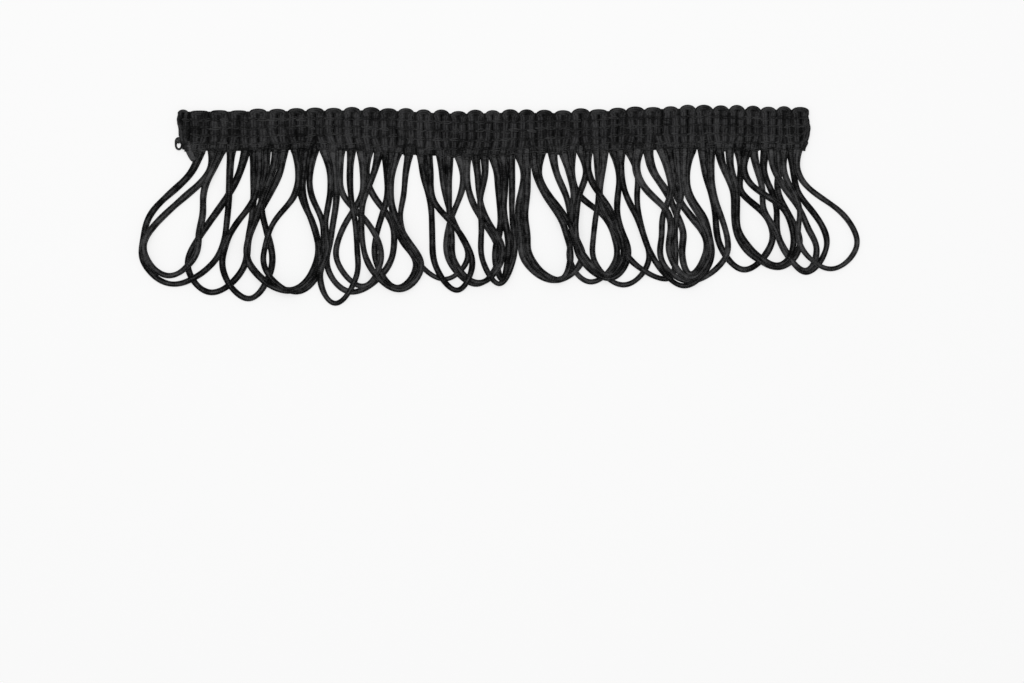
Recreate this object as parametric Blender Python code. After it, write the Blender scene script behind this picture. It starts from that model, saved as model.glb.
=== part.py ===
"""A cord fringe trim lying flat, as one solid for each piece of the real object.

All lengths are in metres. The trim lies on the plane z = 0 and is seen from +Z. The heading runs
along X, with its scalloped edge toward +Y, and the loops hang toward -Y. The origin is on the
heading's flat back, at the middle of its length.

heading      the knitted band: raised ribs, a scalloped upper edge and a flat back
loop_fringe  the band's lowest row of knitting, as a narrow strip, with the cord loops that it holds
"""

from typing import NamedTuple

import bmesh
import bpy
import numpy as np

# The trim was laid out over a squared sheet. Its squares give every plan size below.
SQUARE = 0.0003175
SHEET_MIDDLE = 492.0
SHEET_LEVEL = 127.5

# Heading. Its ends are cut across a quarter of a rib from the first and the last crest.
RIBS = 72
COLUMNS_PER_RIB = 4
FIRST_COLUMN = 0.25

# In squares
SCALLOP_DEPTH = 3.0
END_ROUNDING = 9.0

# At the heading's right end its lower corner is cut off round and its upper edge dips a little.
CORNER_CUT = 12.0
CORNER_DIP = 2.0

# Heading, in metres
BAND_THICK = 0.0020
RIB_HIGH = 0.00045
EDGE_THICK = 0.0011
PART_GAP = 0.0003

# Strip that holds the loops
STRIP_DEEP = 4.6
STRIP_LEFT = 184.0
STRIP_RIGHT = 803.0
STRIP_CREST = 0.0021
STRIP_BACK = 0.0018

# Cord of the loops, as a strand of four sides
CORD_WIDE = 0.00140
CORD_HIGH = 0.00135
CORD_CREST = 0.66
CORD_GAP = 0.00030
RING_STEP = 0.0026
STEEPEST = 0.65
LEG_LEVELS = 5
FOOT_CLEAR = 0.008

# Each turn of laying starts at one of these loops and takes every third, which keeps the piles low.
TURN_STARTS = (2, 0, 1)

# Cut end of the cord, left of the first loop, in squares
TAIL_ROOT = 190.0
TAIL_WIDE = 8.0


class Finish(NamedTuple):
    """Colour and surface of one piece's yarn."""

    colour: tuple[float, float, float, float]
    roughness: float
    metallic: float


# Both are near black: the knitting of the heading is duller than the smooth cord.
KNIT_FINISH = Finish((0.012, 0.012, 0.013, 1.0), 0.9, 0.0)
CORD_FINISH = Finish((0.015, 0.015, 0.016, 1.0), 0.7, 0.0)


class Edge(NamedTuple):
    """Where the heading's two long edges lie at one place along it, in squares of the sheet."""

    along: float
    upper: float
    lower: float


class Spread(NamedTuple):
    """Place along the sheet, in squares, of a point counted in ribs from the first crest."""

    rib: float
    place: float


class TailRing(NamedTuple):
    """One cross-section of the cord's cut end, in squares of the sheet."""

    place: float
    level: float
    wide: float


class Loop(NamedTuple):
    """One cord loop, in squares of the sheet.

    The legs give the place along the sheet at sixths of the way from the strip down to the foot.
    """

    left_root: float
    right_root: float
    foot: float
    foot_level: float
    left_leg: tuple[float, float, float, float, float]
    right_leg: tuple[float, float, float, float, float]


# The heading isn't quite straight: it dips near its middle.
EDGES = (
    Edge(175.0, 106.9, 149.0),
    Edge(220.0, 106.8, 150.2),
    Edge(320.0, 105.9, 149.4),
    Edge(395.0, 106.2, 153.2),
    Edge(460.0, 108.9, 155.6),
    Edge(512.0, 107.9, 155.0),
    Edge(550.0, 108.3, 152.2),
    Edge(608.0, 106.3, 150.4),
    Edge(690.0, 103.8, 148.8),
    Edge(755.0, 104.6, 149.6),
    Edge(810.0, 105.0, 149.2),
)

# The heading is stretched toward its left end, so its ribs stand wider there.
SPREADS = (
    Spread(0.5, 180.5),
    Spread(10.5, 277.5),
    Spread(20.5, 370.5),
    Spread(30.5, 458.5),
    Spread(40.5, 544.5),
    Spread(50.5, 635.5),
    Spread(60.5, 720.5),
    Spread(70.5, 799.5),
)

TAIL = (
    TailRing(191.4, 154.5, 7.0),
    TailRing(192.8, 158.5, 4.6),
)

# From the heading's left end to its right end
LOOPS = (
    Loop(201, 231.5, 176, 284, (191, 168.5, 149, 142.3, 142.5), (230, 229.5, 227.5, 224.5, 214)),
    Loop(213, 221.5, 169, 275.8, (209.5, 190, 166.5, 148.5, 145.5), (212, 204, 203, 199.5, 196)),
    Loop(246, 254.5, 211, 292, (239, 226.5, 210, 194.5, 188.5), (254, 253.7, 252, 248, 243)),
    Loop(260.5, 267, 249, 297.7, (259.5, 254, 236, 225, 224.5), (265.5, 262, 265, 271.5, 270)),
    Loop(276.5, 307, 290, 290.5, (272.2, 263.5, 255, 248, 252), (304.2, 304, 311.8, 318.5, 317.5)),
    Loop(284, 301, 291, 288.7, (279.5, 268.5, 256, 248.5, 251.8), (300, 302, 311.8, 318, 314.8)),
    Loop(295.5, 315, 297, 291.2, (298.5, 294.3, 275, 266, 265.5), (310, 312.4, 322.3, 323.5, 321.7)),
    Loop(324.3, 351.5, 335.8, 303.2, (330.7, 329, 326, 328, 321), (350, 352, 356, 357.5, 356)),
    Loop(333.5, 368.5, 352.5, 291, (335, 336.5, 333.5, 329.5, 328.5), (366.5, 375.8, 391.5, 394, 386.5)),
    Loop(361.5, 341, 363.5, 285.4, (363.5, 361, 348, 338, 338.5), (340, 344, 364, 378.3, 380.3)),
    Loop(379, 397.5, 400, 289, (373, 364.5, 361.5, 363, 370.5), (392, 391.5, 398, 411, 421.5)),
    Loop(385.5, 391.5, 398, 286.5, (387.5, 387, 380.5, 375.2, 377.5), (389, 390, 395, 403.5, 416.2)),
    Loop(409, 441.5, 445, 278.5, (405.5, 403.5, 400.5, 405, 416.5), (443.5, 446.5, 452.5, 462, 467.5)),
    Loop(421, 430.5, 455.5, 289, (424, 430.5, 432, 432.5, 436.5), (431, 433, 452, 467, 472)),
    Loop(459, 467.5, 479, 282.5, (463.5, 459, 450.5, 446.5, 450.5), (467, 471.5, 482.5, 495.5, 498)),
    Loop(449.5, 475.5, 480, 281.5, (449.5, 449.5, 450.5, 452, 454), (478, 480, 487, 499, 501)),
    Loop(484.5, 511, 499.5, 283, (484.5, 480.3, 481.3, 481, 483.5), (511.5, 512.5, 515, 515.7, 512.5)),
    Loop(494, 502.5, 500, 276.5, (498, 499.5, 501, 498, 495.5), (505.3, 505.5, 505.3, 508, 508.5)),
    Loop(520, 564, 555, 279.3, (524.5, 520.5, 520.5, 522, 524.5), (570, 574, 572.5, 575.8, 582)),
    Loop(527, 534, 559.5, 279, (527, 526.5, 526.5, 527.5, 530.5), (537, 546, 559.5, 567.5, 570.3)),
    Loop(552.5, 571.5, 590.5, 281.5, (557, 566, 570.5, 571.3, 570), (572, 579.5, 604.5, 614.5, 615.5)),
    Loop(541, 613.5, 608.5, 277.8, (539, 549, 564.8, 574.5, 580.3), (619, 618, 617.5, 624, 626.5)),
    Loop(581, 588, 607.5, 272.8, (586, 580, 576.3, 575.7, 583), (588.5, 598, 611.5, 619.5, 622.5)),
    Loop(597, 628.5, 624, 285.3, (598, 598.5, 595.5, 593, 595.2), (637.3, 637, 639.5, 645.5, 648)),
    Loop(604, 677.5, 668, 277.5, (602, 599.5, 606, 619, 628), (678.5, 677.5, 677.3, 675, 676.3)),
    Loop(621, 691.5, 684.3, 285, (621, 626.5, 637, 645, 656.5), (686.7, 690.3, 704, 710.3, 709.5)),
    Loop(648, 669, 691, 273.5, (653, 665, 673, 683, 682.3), (672, 677.5, 688.5, 701.7, 705.6)),
    Loop(661, 710.5, 688, 280.2, (668, 670.3, 663, 661, 661), (711, 713.2, 720.5, 727, 724)),
    Loop(638.5, 684.5, 689.8, 277.2, (637.8, 649.3, 666, 668.5, 670), (684, 685.5, 697.5, 707.5, 709)),
    Loop(702.5, 739, 744, 269.5, (704.7, 710, 714.5, 716.3, 722), (741, 740.4, 760.2, 771.5, 768.5)),
    Loop(717.8, 777.5, 780, 266.3, (724, 732.3, 733.7, 735.3, 744), (779, 777.5, 785.5, 796, 799)),
    Loop(728, 747.5, 778, 264.3, (730.6, 736, 736.5, 737.5, 748), (743.5, 755.5, 781.7, 791, 792.7)),
    Loop(765.5, 790, 806, 271.5, (764.5, 771.5, 776.5, 777, 786), (793.3, 797.5, 812, 824.5, 824.8)),
    Loop(753, 770.5, 805.5, 269.5, (757.3, 762.2, 763.7, 775, 783.5), (774.5, 786, 800, 809, 816.4)),
    Loop(784, 797.5, 831, 268.3, (783.4, 791.5, 799, 797.7, 801.6), (797, 810.5, 837.5, 853.3, 855.5)),
)


def along(squares):
    """World X of a place counted along the sheet."""
    return (np.asarray(squares, float) - SHEET_MIDDLE) * SQUARE


def down(squares):
    """World Y of a level counted down the sheet."""
    return (SHEET_LEVEL - np.asarray(squares, float)) * SQUARE


def smooth_values(knots, values, wanted):
    """Natural cubic spline through values at the knots, read at the wanted places."""
    knots = np.asarray(knots, float)
    values = np.asarray(values, float)
    steps = np.diff(knots)
    count = len(knots)
    matrix = np.eye(count)
    right = np.zeros((count,) + values.shape[1:])
    for i in range(1, count - 1):
        matrix[i, i - 1 : i + 2] = steps[i - 1], 2 * (steps[i - 1] + steps[i]), steps[i]
        right[i] = 6 * ((values[i + 1] - values[i]) / steps[i] - (values[i] - values[i - 1]) / steps[i - 1])
    bend = np.linalg.solve(matrix, right)
    span = np.clip(np.searchsorted(knots, wanted, side="right") - 1, 0, count - 2)
    shape = (-1,) + (1,) * (values.ndim - 1)
    step = steps[span].reshape(shape)
    ahead = (knots[span + 1] - wanted).reshape(shape)
    behind = (wanted - knots[span]).reshape(shape)
    return (
        (bend[span] * ahead**3 + bend[span + 1] * behind**3) / (6 * step)
        + (values[span] / step - bend[span] * step / 6) * ahead
        + (values[span + 1] / step - bend[span + 1] * step / 6) * behind
    )


def edge_level(places, name):
    """Level of the heading's upper or lower line at places along the sheet, in squares."""
    rows = [getattr(edge, name) for edge in EDGES]
    return smooth_values([edge.along for edge in EDGES], rows, np.asarray(places, float))


def plan_of(loop):
    """Points on the loop's centre line from root to root, evenly spaced along it, in metres."""
    roots = edge_level([loop.left_root, loop.right_root], "lower")
    shares = np.arange(1, LEG_LEVELS + 1) / (LEG_LEVELS + 1)
    left_levels = roots[0] + (loop.foot_level - roots[0]) * shares
    right_levels = roots[1] + (loop.foot_level - roots[1]) * shares
    places = [loop.left_root, *loop.left_leg, loop.foot, *loop.right_leg[::-1], loop.right_root]
    levels = [roots[0], *left_levels, loop.foot_level, *right_levels[::-1], roots[1]]
    knots = np.column_stack([along(places), down(levels)])
    chords = np.linalg.norm(np.diff(knots, axis=0), axis=1) ** 0.5
    marks = np.concatenate([[0], np.cumsum(chords)])
    fine = smooth_values(marks, knots, np.linspace(0, marks[-1], 400))
    travelled = np.concatenate([[0], np.cumsum(np.linalg.norm(np.diff(fine, axis=0), axis=1))])
    count = round(travelled[-1] / RING_STEP)
    wanted = np.linspace(0, travelled[-1], count + 1)
    return np.column_stack([np.interp(wanted, travelled, fine[:, i]) for i in (0, 1)])


def samples_of(plan, heights):
    """Close points along a strand's underside, for finding what lies under a later one."""
    line = np.column_stack([plan, heights])
    shares = np.arange(6)[:, None, None] / 6
    inner = line[:-1] + (line[1:] - line[:-1]) * shares
    return np.concatenate([inner.reshape(-1, 3), line[-1:]])


def lay(plan, beneath):
    """Heights of a leg's underside, from its root on, where it lies over the strands beneath it.

    It stays on the floor where it can, and climbs no steeper than STEEPEST beside a crossing.
    """
    needed = np.zeros(len(plan))
    reach = CORD_WIDE + CORD_GAP + 0.0001
    shares = np.linspace(0, 1, 7)[:, None]
    for i in range(len(plan) - 1):
        points = plan[i] + (plan[i + 1] - plan[i]) * shares
        apart = np.linalg.norm(beneath[None, :, :2] - points[:, None, :], axis=2).min(axis=0)
        close = beneath[apart < reach, 2]
        if len(close):
            needed[i : i + 2] = np.maximum(needed[i : i + 2], close.max() + CORD_HIGH + CORD_GAP)
    steps = np.linalg.norm(np.diff(plan, axis=0), axis=1)
    for i in range(1, len(plan)):
        needed[i] = max(needed[i], needed[i - 1] - STEEPEST * steps[i - 1])
    for i in range(len(plan) - 2, -1, -1):
        needed[i] = max(needed[i], needed[i + 1] - STEEPEST * steps[i])
    needed[0] = 0.0
    return needed


def lay_all(plans):
    """Heights of every loop's underside. Each leg lies over all that was laid before it."""
    beneath = np.full((1, 3), 1e3)
    heights = {}
    step = len(TURN_STARTS)
    for number in (i for start in TURN_STARTS for i in range(start, len(plans), step)):
        plan = plans[number]
        foot = int(plan[:, 1].argmin())
        left = lay(plan[: foot + 1], beneath)
        own = samples_of(plan[: foot + 1], left)
        own = own[np.linalg.norm(own[:, :2] - plan[foot], axis=1) > FOOT_CLEAR]
        right = lay(plan[foot:][::-1], np.concatenate([beneath, own]))[::-1]
        left[-1] = max(left[-1], right[0])
        heights[number] = np.concatenate([left, right[1:]])
        beneath = np.concatenate([beneath, samples_of(plan, heights[number])])
    return [heights[number] for number in range(len(plans))]


def ring_corners(plan, heights):
    """The four corners of each ring of a strand: two on its underside, then two on its crest."""
    ahead = np.gradient(plan, axis=0)
    ahead /= np.linalg.norm(ahead, axis=1)[:, None]
    side = np.column_stack([-ahead[:, 1], ahead[:, 0]]) * CORD_WIDE / 2
    floor = heights[:, None]
    top = floor + CORD_HIGH
    return np.stack(
        [
            np.hstack([plan - side, floor]),
            np.hstack([plan + side, floor]),
            np.hstack([plan + side * CORD_CREST, top]),
            np.hstack([plan - side * CORD_CREST, top]),
        ],
        axis=1,
    )


def yarn_material(name, finish):
    """A plain material with the finish's values."""
    material = bpy.data.materials.new(name)
    material.use_nodes = True
    surface = material.node_tree.nodes["Principled BSDF"]
    surface.inputs["Base Color"].default_value = finish.colour
    surface.inputs["Roughness"].default_value = finish.roughness
    surface.inputs["Metallic"].default_value = finish.metallic
    return material


def new_object(name, shape, finish):
    """Turns a bmesh into an object of the scene, with its own material."""
    bmesh.ops.recalc_face_normals(shape, faces=shape.faces)
    mesh = bpy.data.meshes.new(name)
    shape.to_mesh(mesh)
    shape.free()
    mesh.materials.append(yarn_material(name + "_yarn", finish))
    bpy.context.scene.collection.objects.link(bpy.data.objects.new(name, mesh))


def rows_of_points(shape, points):
    """Adds an array of points to the shape and returns its vertices, in nested lists."""
    if points.ndim == 1:
        return shape.verts.new(points)
    return [rows_of_points(shape, inner) for inner in points]


def wrap(shape, first, second):
    """Joins two rings of vertices, each of the same count, with faces all round."""
    count = len(first)
    for i in range(count):
        after = (i + 1) % count
        shape.faces.new((first[i], first[after], second[after], second[i]))


def heading_sections():
    """Rings round the heading, one for each column, from its back's lower edge over the face."""
    count = RIBS * COLUMNS_PER_RIB - 1
    ribs = FIRST_COLUMN + np.arange(count) / COLUMNS_PER_RIB
    places = smooth_values([row.rib for row in SPREADS], [row.place for row in SPREADS], ribs)
    crest = 0.5 + 0.5 * np.cos(2 * np.pi * ribs)
    scallop = np.abs(np.sin(np.pi * (ribs - 0.5) / 2))
    upper = edge_level(places, "upper") + SCALLOP_DEPTH * scallop
    lower = edge_level(places, "lower") - STRIP_DEEP - PART_GAP / SQUARE
    to_end = np.clip(1 - (places[-1] - places) / END_ROUNDING, 0, 1)
    lower = lower - CORNER_CUT * to_end**2
    upper = upper + CORNER_DIP * to_end**2
    face = BAND_THICK + RIB_HIGH * crest
    shoulder = (face + EDGE_THICK) / 2
    rows = (
        (0.00, np.zeros(count)),
        (0.00, np.full(count, EDGE_THICK)),
        (0.045, shoulder),
        (0.12, face),
        (0.86, face),
        (0.96, shoulder),
        (1.00, np.full(count, EDGE_THICK)),
        (1.00, np.zeros(count)),
    )
    x = along(places)
    sections = [np.column_stack([x, down(lower + (upper - lower) * share), z]) for share, z in rows]
    return np.stack(sections, axis=1)


def build_heading():
    """The knitted band, closed by a face at each end."""
    shape = bmesh.new()
    rings = rows_of_points(shape, heading_sections())
    for first, second in zip(rings, rings[1:]):
        wrap(shape, first, second)
    shape.faces.new(rings[0])
    shape.faces.new(rings[-1])
    new_object("heading", shape, KNIT_FINISH)


def root_marks():
    """Root places and widths along the strip, in squares: each loop's two ends and the cut tail."""
    marks = [(TAIL_ROOT, TAIL_WIDE)]
    for loop in LOOPS:
        marks += [(root, CORD_WIDE / SQUARE) for root in (loop.left_root, loop.right_root)]
    return marks


def strip_sections(places):
    """Rings of the strip: front foot, front top, crest, back top and back foot."""
    x = along(places)
    front = down(edge_level(places, "lower"))
    deep = STRIP_DEEP * SQUARE
    profile = ((0, 0), (0, CORD_HIGH), (0.35, STRIP_CREST), (1, STRIP_BACK), (1, 0))
    return np.stack(
        [np.column_stack([x, front + deep * share, np.full(len(x), z)]) for share, z in profile],
        axis=1,
    )


def build_loop_fringe():
    """The strip with every loop grown from openings in its front wall, so all is one solid."""
    shape = bmesh.new()
    marks = root_marks()
    edges = [place + side * wide / 2 for place, wide in marks for side in (-1, 1)]
    places = np.array(sorted([STRIP_LEFT, *edges, STRIP_RIGHT]))
    rings = rows_of_points(shape, strip_sections(places))
    openings = {}
    for i, (first, second) in enumerate(zip(rings, rings[1:])):
        middle = (places[i] + places[i + 1]) / 2
        opening = any(abs(middle - place) < wide / 4 for place, wide in marks)
        for side in range(5):
            after = (side + 1) % 5
            corners = (first[side], first[after], second[after], second[side])
            if side == 0 and opening:
                openings[round(middle, 2)] = (first[0], second[0], second[1], first[1])
            else:
                shape.faces.new(corners)
    shape.faces.new(rings[0])
    shape.faces.new(rings[-1])

    plans = [plan_of(loop) for loop in LOOPS]
    for loop, plan, heights in zip(LOOPS, plans, lay_all(plans)):
        inner = rows_of_points(shape, ring_corners(plan, heights)[1:-1])
        start = openings[round(loop.left_root, 2)]
        end = openings[round(loop.right_root, 2)]
        # A ring's first corner is on the strand's right, seen along its way, from root to root.
        chain = [start, *inner, (end[1], end[0], end[3], end[2])]
        for first, second in zip(chain, chain[1:]):
            wrap(shape, first, second)

    chain = [openings[TAIL_ROOT]]
    for ring in TAIL:
        x = along([ring.place - ring.wide / 2, ring.place + ring.wide / 2])
        y = down(ring.level)
        corners = np.array([[x[0], y, 0], [x[1], y, 0], [x[1], y, CORD_HIGH], [x[0], y, CORD_HIGH]])
        chain.append(rows_of_points(shape, corners))
    for first, second in zip(chain, chain[1:]):
        wrap(shape, first, second)
    shape.faces.new(chain[-1])
    new_object("loop_fringe", shape, CORD_FINISH)


def main():
    """Clears the scene and builds both pieces."""
    for obj in list(bpy.data.objects):
        bpy.data.objects.remove(obj)
    bpy.context.scene.unit_settings.scale_length = 1.0
    build_heading()
    build_loop_fringe()


main()
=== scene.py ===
"""Looks of a cord fringe trim that lies flat: a knitted heading of cord ribs, and soft cord loops.

The trim lies on the floor z = 0 and is seen from +Z. The heading runs along X with its scallops
toward +Y, and the loops lie toward -Y. Plan sizes are counted in squares of the sheet that the
trim was laid out on, and everything else is in metres.
"""

import logging
from dataclasses import dataclass
from enum import Enum
from typing import NamedTuple

import bpy
import numpy as np
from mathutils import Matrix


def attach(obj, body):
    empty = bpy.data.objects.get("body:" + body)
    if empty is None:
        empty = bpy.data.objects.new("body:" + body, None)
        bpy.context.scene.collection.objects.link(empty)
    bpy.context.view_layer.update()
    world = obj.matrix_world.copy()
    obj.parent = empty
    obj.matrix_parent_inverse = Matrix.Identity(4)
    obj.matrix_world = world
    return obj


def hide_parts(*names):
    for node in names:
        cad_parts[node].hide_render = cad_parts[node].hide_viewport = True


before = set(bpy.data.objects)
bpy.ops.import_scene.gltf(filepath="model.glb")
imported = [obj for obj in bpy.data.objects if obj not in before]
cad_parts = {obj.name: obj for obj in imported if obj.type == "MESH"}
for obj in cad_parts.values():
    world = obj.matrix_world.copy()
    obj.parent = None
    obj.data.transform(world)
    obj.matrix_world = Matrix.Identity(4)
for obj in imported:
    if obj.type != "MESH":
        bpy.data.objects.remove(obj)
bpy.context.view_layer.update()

LOG = logging.getLogger("fringe")
Array = np.ndarray
UP = np.array([0.0, 0.0, 1.0])
MM = 0.001
# Points of a loop's spline, along which its evenly spaced rings are laid
FINE_POINTS = 500
# Numbers of a Mix node's colour sockets: its two inputs, and its output
MIX_FIRST, MIX_SECOND, MIX_RESULT = 6, 7, 2


@dataclass(frozen=True)
class SquaredSheet:
    """The squared sheet that the trim was laid out on, seen from above, with its levels downward.

    Attributes:
        square: Side of a square, in metres.
        middle: Place along the sheet that lies at X = 0.
        level: Level down the sheet that lies at Y = 0.
    """

    square: float = 0.0003175
    middle: float = 492.0
    level: float = 127.5

    def x(self, along: Array | float) -> Array:
        """World X of places along the sheet."""
        return (np.asarray(along, float) - self.middle) * self.square

    def y(self, down: Array | float) -> Array:
        """World Y of levels down the sheet."""
        return (self.level - np.asarray(down, float)) * self.square


SHEET = SquaredSheet()


class Edge(NamedTuple):
    """The heading's two long edges at one place along it, in squares."""

    along: float
    upper: float
    lower: float


class Spread(NamedTuple):
    """Place along the sheet, in squares, of a point counted in ribs from the first crest."""

    rib: float
    place: float


class Loop(NamedTuple):
    """One cord loop, in squares. Some loops are pulled tighter than others.

    Attributes:
        left_root: Place where its left leg leaves the heading.
        right_root: Place where its right leg does.
        foot: Place of its foot.
        foot_level: Level of its foot.
        left_leg: The left leg's places at sixths of the way down to the foot.
        right_leg: The right leg's places there.
        fullness: Width of the cord, as a share of its usual width.
    """

    left_root: float
    right_root: float
    foot: float
    foot_level: float
    left_leg: tuple[float, float, float, float, float]
    right_leg: tuple[float, float, float, float, float]
    fullness: float = 1.0


# The heading isn't quite straight: it dips near its middle.
EDGES = (
    Edge(175.0, 106.9, 149.0),
    Edge(220.0, 106.8, 150.2),
    Edge(320.0, 105.9, 149.4),
    Edge(395.0, 106.2, 153.2),
    Edge(460.0, 108.9, 155.6),
    Edge(512.0, 107.9, 155.0),
    Edge(550.0, 108.3, 152.2),
    Edge(608.0, 106.3, 150.4),
    Edge(690.0, 103.8, 148.8),
    Edge(755.0, 104.6, 149.6),
    Edge(810.0, 105.0, 149.2),
)

# The heading is stretched toward its left end, so its ribs stand wider there.
SPREADS = (
    Spread(0.5, 180.5),
    Spread(10.5, 277.5),
    Spread(20.5, 370.5),
    Spread(30.5, 458.5),
    Spread(40.5, 544.5),
    Spread(50.5, 635.5),
    Spread(60.5, 720.5),
    Spread(70.5, 799.5),
)

# From the heading's left end to its right end
LOOPS = (
    Loop(201, 231.5, 172.5, 283.2, (191, 168.5, 149.3, 143.4, 144.1), (230, 229.5, 227.5, 224.5, 214), 1.04),
    Loop(213, 221.5, 169, 274.8, (209.5, 190, 166.5, 148.5, 145.5), (212, 204, 203, 199.5, 196), 1.12),
    Loop(246, 254.5, 211, 291.5, (239, 226.5, 210, 194.5, 188.5), (254, 253.7, 251.5, 248, 243), 1.1),
    Loop(260.5, 267, 249, 297.7, (259.5, 254, 236, 225, 224.5), (265.5, 262, 265, 271.5, 270), 1.03),
    Loop(276.5, 307, 290, 290.5, (272.2, 263.5, 255.5, 248, 252), (304.2, 304, 311.8, 318.5, 318.2)),
    Loop(284, 301, 291, 288.7, (279.5, 268.5, 256.6, 248.5, 251.8), (300, 301.5, 311.8, 318, 314.8)),
    Loop(295.5, 315, 297, 291.2, (299, 293.4, 274.8, 266, 265.5), (310, 312.4, 322.3, 323.5, 321), 0.96),
    Loop(324.3, 351.5, 335, 302.4, (330.7, 329, 326, 328, 320.5), (350, 352, 356, 357.5, 356)),
    Loop(333.5, 368.5, 351.3, 291, (335, 336.5, 333.5, 329.5, 328), (366.5, 375.8, 391.5, 394, 386.5), 1.06),
    Loop(361.5, 341, 363.5, 285.4, (363.5, 361, 348, 338, 338.5), (340, 344, 364, 378.3, 380.3)),
    Loop(379, 397.5, 400, 289, (373, 364.5, 361.5, 363, 370.5), (392, 391.5, 398, 411, 421.5)),
    Loop(385.5, 391.5, 398, 286.5, (387.5, 387, 380.5, 375.2, 377.5), (389, 390, 395, 403.5, 416.2)),
    Loop(409, 440.5, 445, 278.3, (405.5, 403.5, 400.5, 405, 415.4), (442.5, 445.8, 452.5, 462, 467.5), 0.92),
    Loop(421.5, 428.3, 457.3, 289.3, (424.2, 430, 432, 432.5, 436.5), (430.4, 433.6, 451.7, 467, 472)),
    Loop(459, 467.5, 477, 283.5, (463.5, 459, 450.5, 446.5, 450.5), (467, 471.5, 482.5, 495.5, 497.5)),
    Loop(449, 475.5, 479.5, 281.8, (449, 448.9, 450.2, 452, 454.8), (478, 480, 487, 499.8, 501)),
    Loop(484.5, 511, 499.5, 283, (484.5, 480.3, 481.3, 481, 483.5), (512, 511.9, 512.3, 514.7, 512.5), 0.95),
    Loop(494, 502.5, 502.5, 278.5, (498, 499.5, 501, 498, 495.5), (504.7, 503.7, 504.5, 508.2, 508), 1.13),
    Loop(520, 564, 555, 279.3, (524.5, 520.4, 518.4, 520.7, 524.5), (570, 574, 572.5, 575.8, 582), 1.1),
    Loop(527, 534, 559.5, 279, (527, 526.5, 525.2, 527.3, 531.3), (537, 546, 559.5, 567.5, 570.3), 1.1),
    Loop(552.5, 571.5, 590.5, 281, (557, 566, 570.5, 571.3, 570), (572, 579.5, 604.5, 614.5, 615.5), 0.98),
    Loop(541, 613.5, 610, 277.8, (539, 549, 564.8, 574.5, 580.3), (619, 618, 617.5, 624, 628)),
    Loop(581, 588, 608.5, 274, (586, 580, 576.3, 575.7, 583), (588.5, 598, 611.5, 619.5, 623)),
    Loop(597, 628.5, 624, 284, (598, 598.5, 595.5, 593, 595.2), (637.3, 637, 639.5, 645.5, 648), 0.94),
    Loop(604, 677.5, 668, 277.5, (602, 599.5, 606, 619, 628), (678.7, 681, 676.7, 675, 675.5)),
    Loop(621, 691.5, 684.3, 285, (621, 626.5, 637, 645, 656.5), (686.7, 690.3, 704, 710.3, 709.5)),
    Loop(648, 669, 690.3, 273.5, (653, 666.2, 675.6, 683, 682), (672.8, 675.2, 687.4, 703, 705.6), 1.12),
    Loop(661, 711, 688, 280.2, (668, 670.3, 663, 661.4, 661.3), (711, 713.2, 720.5, 727, 724)),
    Loop(638.5, 684.5, 689.8, 277.2, (636.5, 649.3, 668, 670, 670.6), (684, 686.4, 698.1, 707.5, 709), 1.12),
    Loop(702.5, 738.2, 744, 268.8, (704.7, 710, 714.5, 716.3, 722), (741, 740.4, 760.2, 772, 768.5), 1.08),
    Loop(718.6, 777.5, 780, 266.3, (724, 732.3, 733.7, 735.3, 744), (779, 777.5, 785.5, 796, 799)),
    Loop(729.5, 747.5, 778, 264.3, (730.8, 736, 736.5, 737.5, 748), (743.5, 755.5, 781.7, 791, 792.7)),
    Loop(765.5, 790, 806, 271.5, (763.7, 771.3, 776.5, 777, 786.4), (793.3, 797.5, 812, 824.5, 824.8)),
    Loop(753, 770.5, 805.5, 269.5, (757.3, 762.2, 763.7, 775, 783.5), (774.5, 786, 800, 809, 816.4)),
    Loop(784, 797.5, 831, 268, (783.4, 791.5, 799, 797.7, 802), (797, 810.5, 837.5, 853.3, 855.5), 0.94),
)


def natural_spline(knots: Array, values: Array, wanted: Array) -> Array:
    """Natural cubic spline: piecewise cubics whose bend is continuous and is zero at both ends.

    Args:
        knots: Rising places of the values.
        values: One value, or one row of values, for each knot.
        wanted: Places to read the spline at.

    Returns:
        The values at the wanted places.
    """
    knots = np.asarray(knots, float)
    values = np.asarray(values, float)
    steps = np.diff(knots)
    count = len(knots)
    inner = np.arange(1, count - 1)
    matrix = np.eye(count)
    matrix[inner, inner - 1] = steps[:-1]
    matrix[inner, inner] = 2 * (steps[:-1] + steps[1:])
    matrix[inner, inner + 1] = steps[1:]
    slopes = (np.diff(values, axis=0).T / steps).T
    right = np.zeros_like(values)
    right[1:-1] = 6 * np.diff(slopes, axis=0)
    bend = np.linalg.solve(matrix, right)
    span = np.clip(np.searchsorted(knots, wanted, side="right") - 1, 0, count - 2)
    shape = (-1,) + (1,) * (values.ndim - 1)
    step = steps[span].reshape(shape)
    ahead = (knots[span + 1] - wanted).reshape(shape)
    behind = (wanted - knots[span]).reshape(shape)
    return (
        (bend[span] * ahead**3 + bend[span + 1] * behind**3) / (6 * step)
        + (values[span] / step - bend[span] * step / 6) * ahead
        + (values[span + 1] / step - bend[span + 1] * step / 6) * behind
    )


def edge_level(places: Array | float, name: str) -> Array:
    """Level of the heading's upper or lower line at places along the sheet, in squares.

    Args:
        places: Places along the sheet.
        name: "upper" or "lower", a field of Edge.

    Returns:
        The levels.
    """
    knots = [edge.along for edge in EDGES]
    levels = [getattr(edge, name) for edge in EDGES]
    flat = np.asarray(places, float).ravel()
    return natural_spline(knots, levels, flat).reshape(np.shape(places))


def rib_places(ribs: Array) -> Array:
    """Places along the sheet, in squares, of points counted in ribs."""
    return natural_spline([row.rib for row in SPREADS], [row.place for row in SPREADS], ribs)


def eased(share: Array) -> Array:
    """Smooth step: 3 t^2 - 2 t^3, from 0 to 1, held at its ends."""
    t = np.clip(share, 0.0, 1.0)
    return t * t * (3 - 2 * t)


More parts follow.
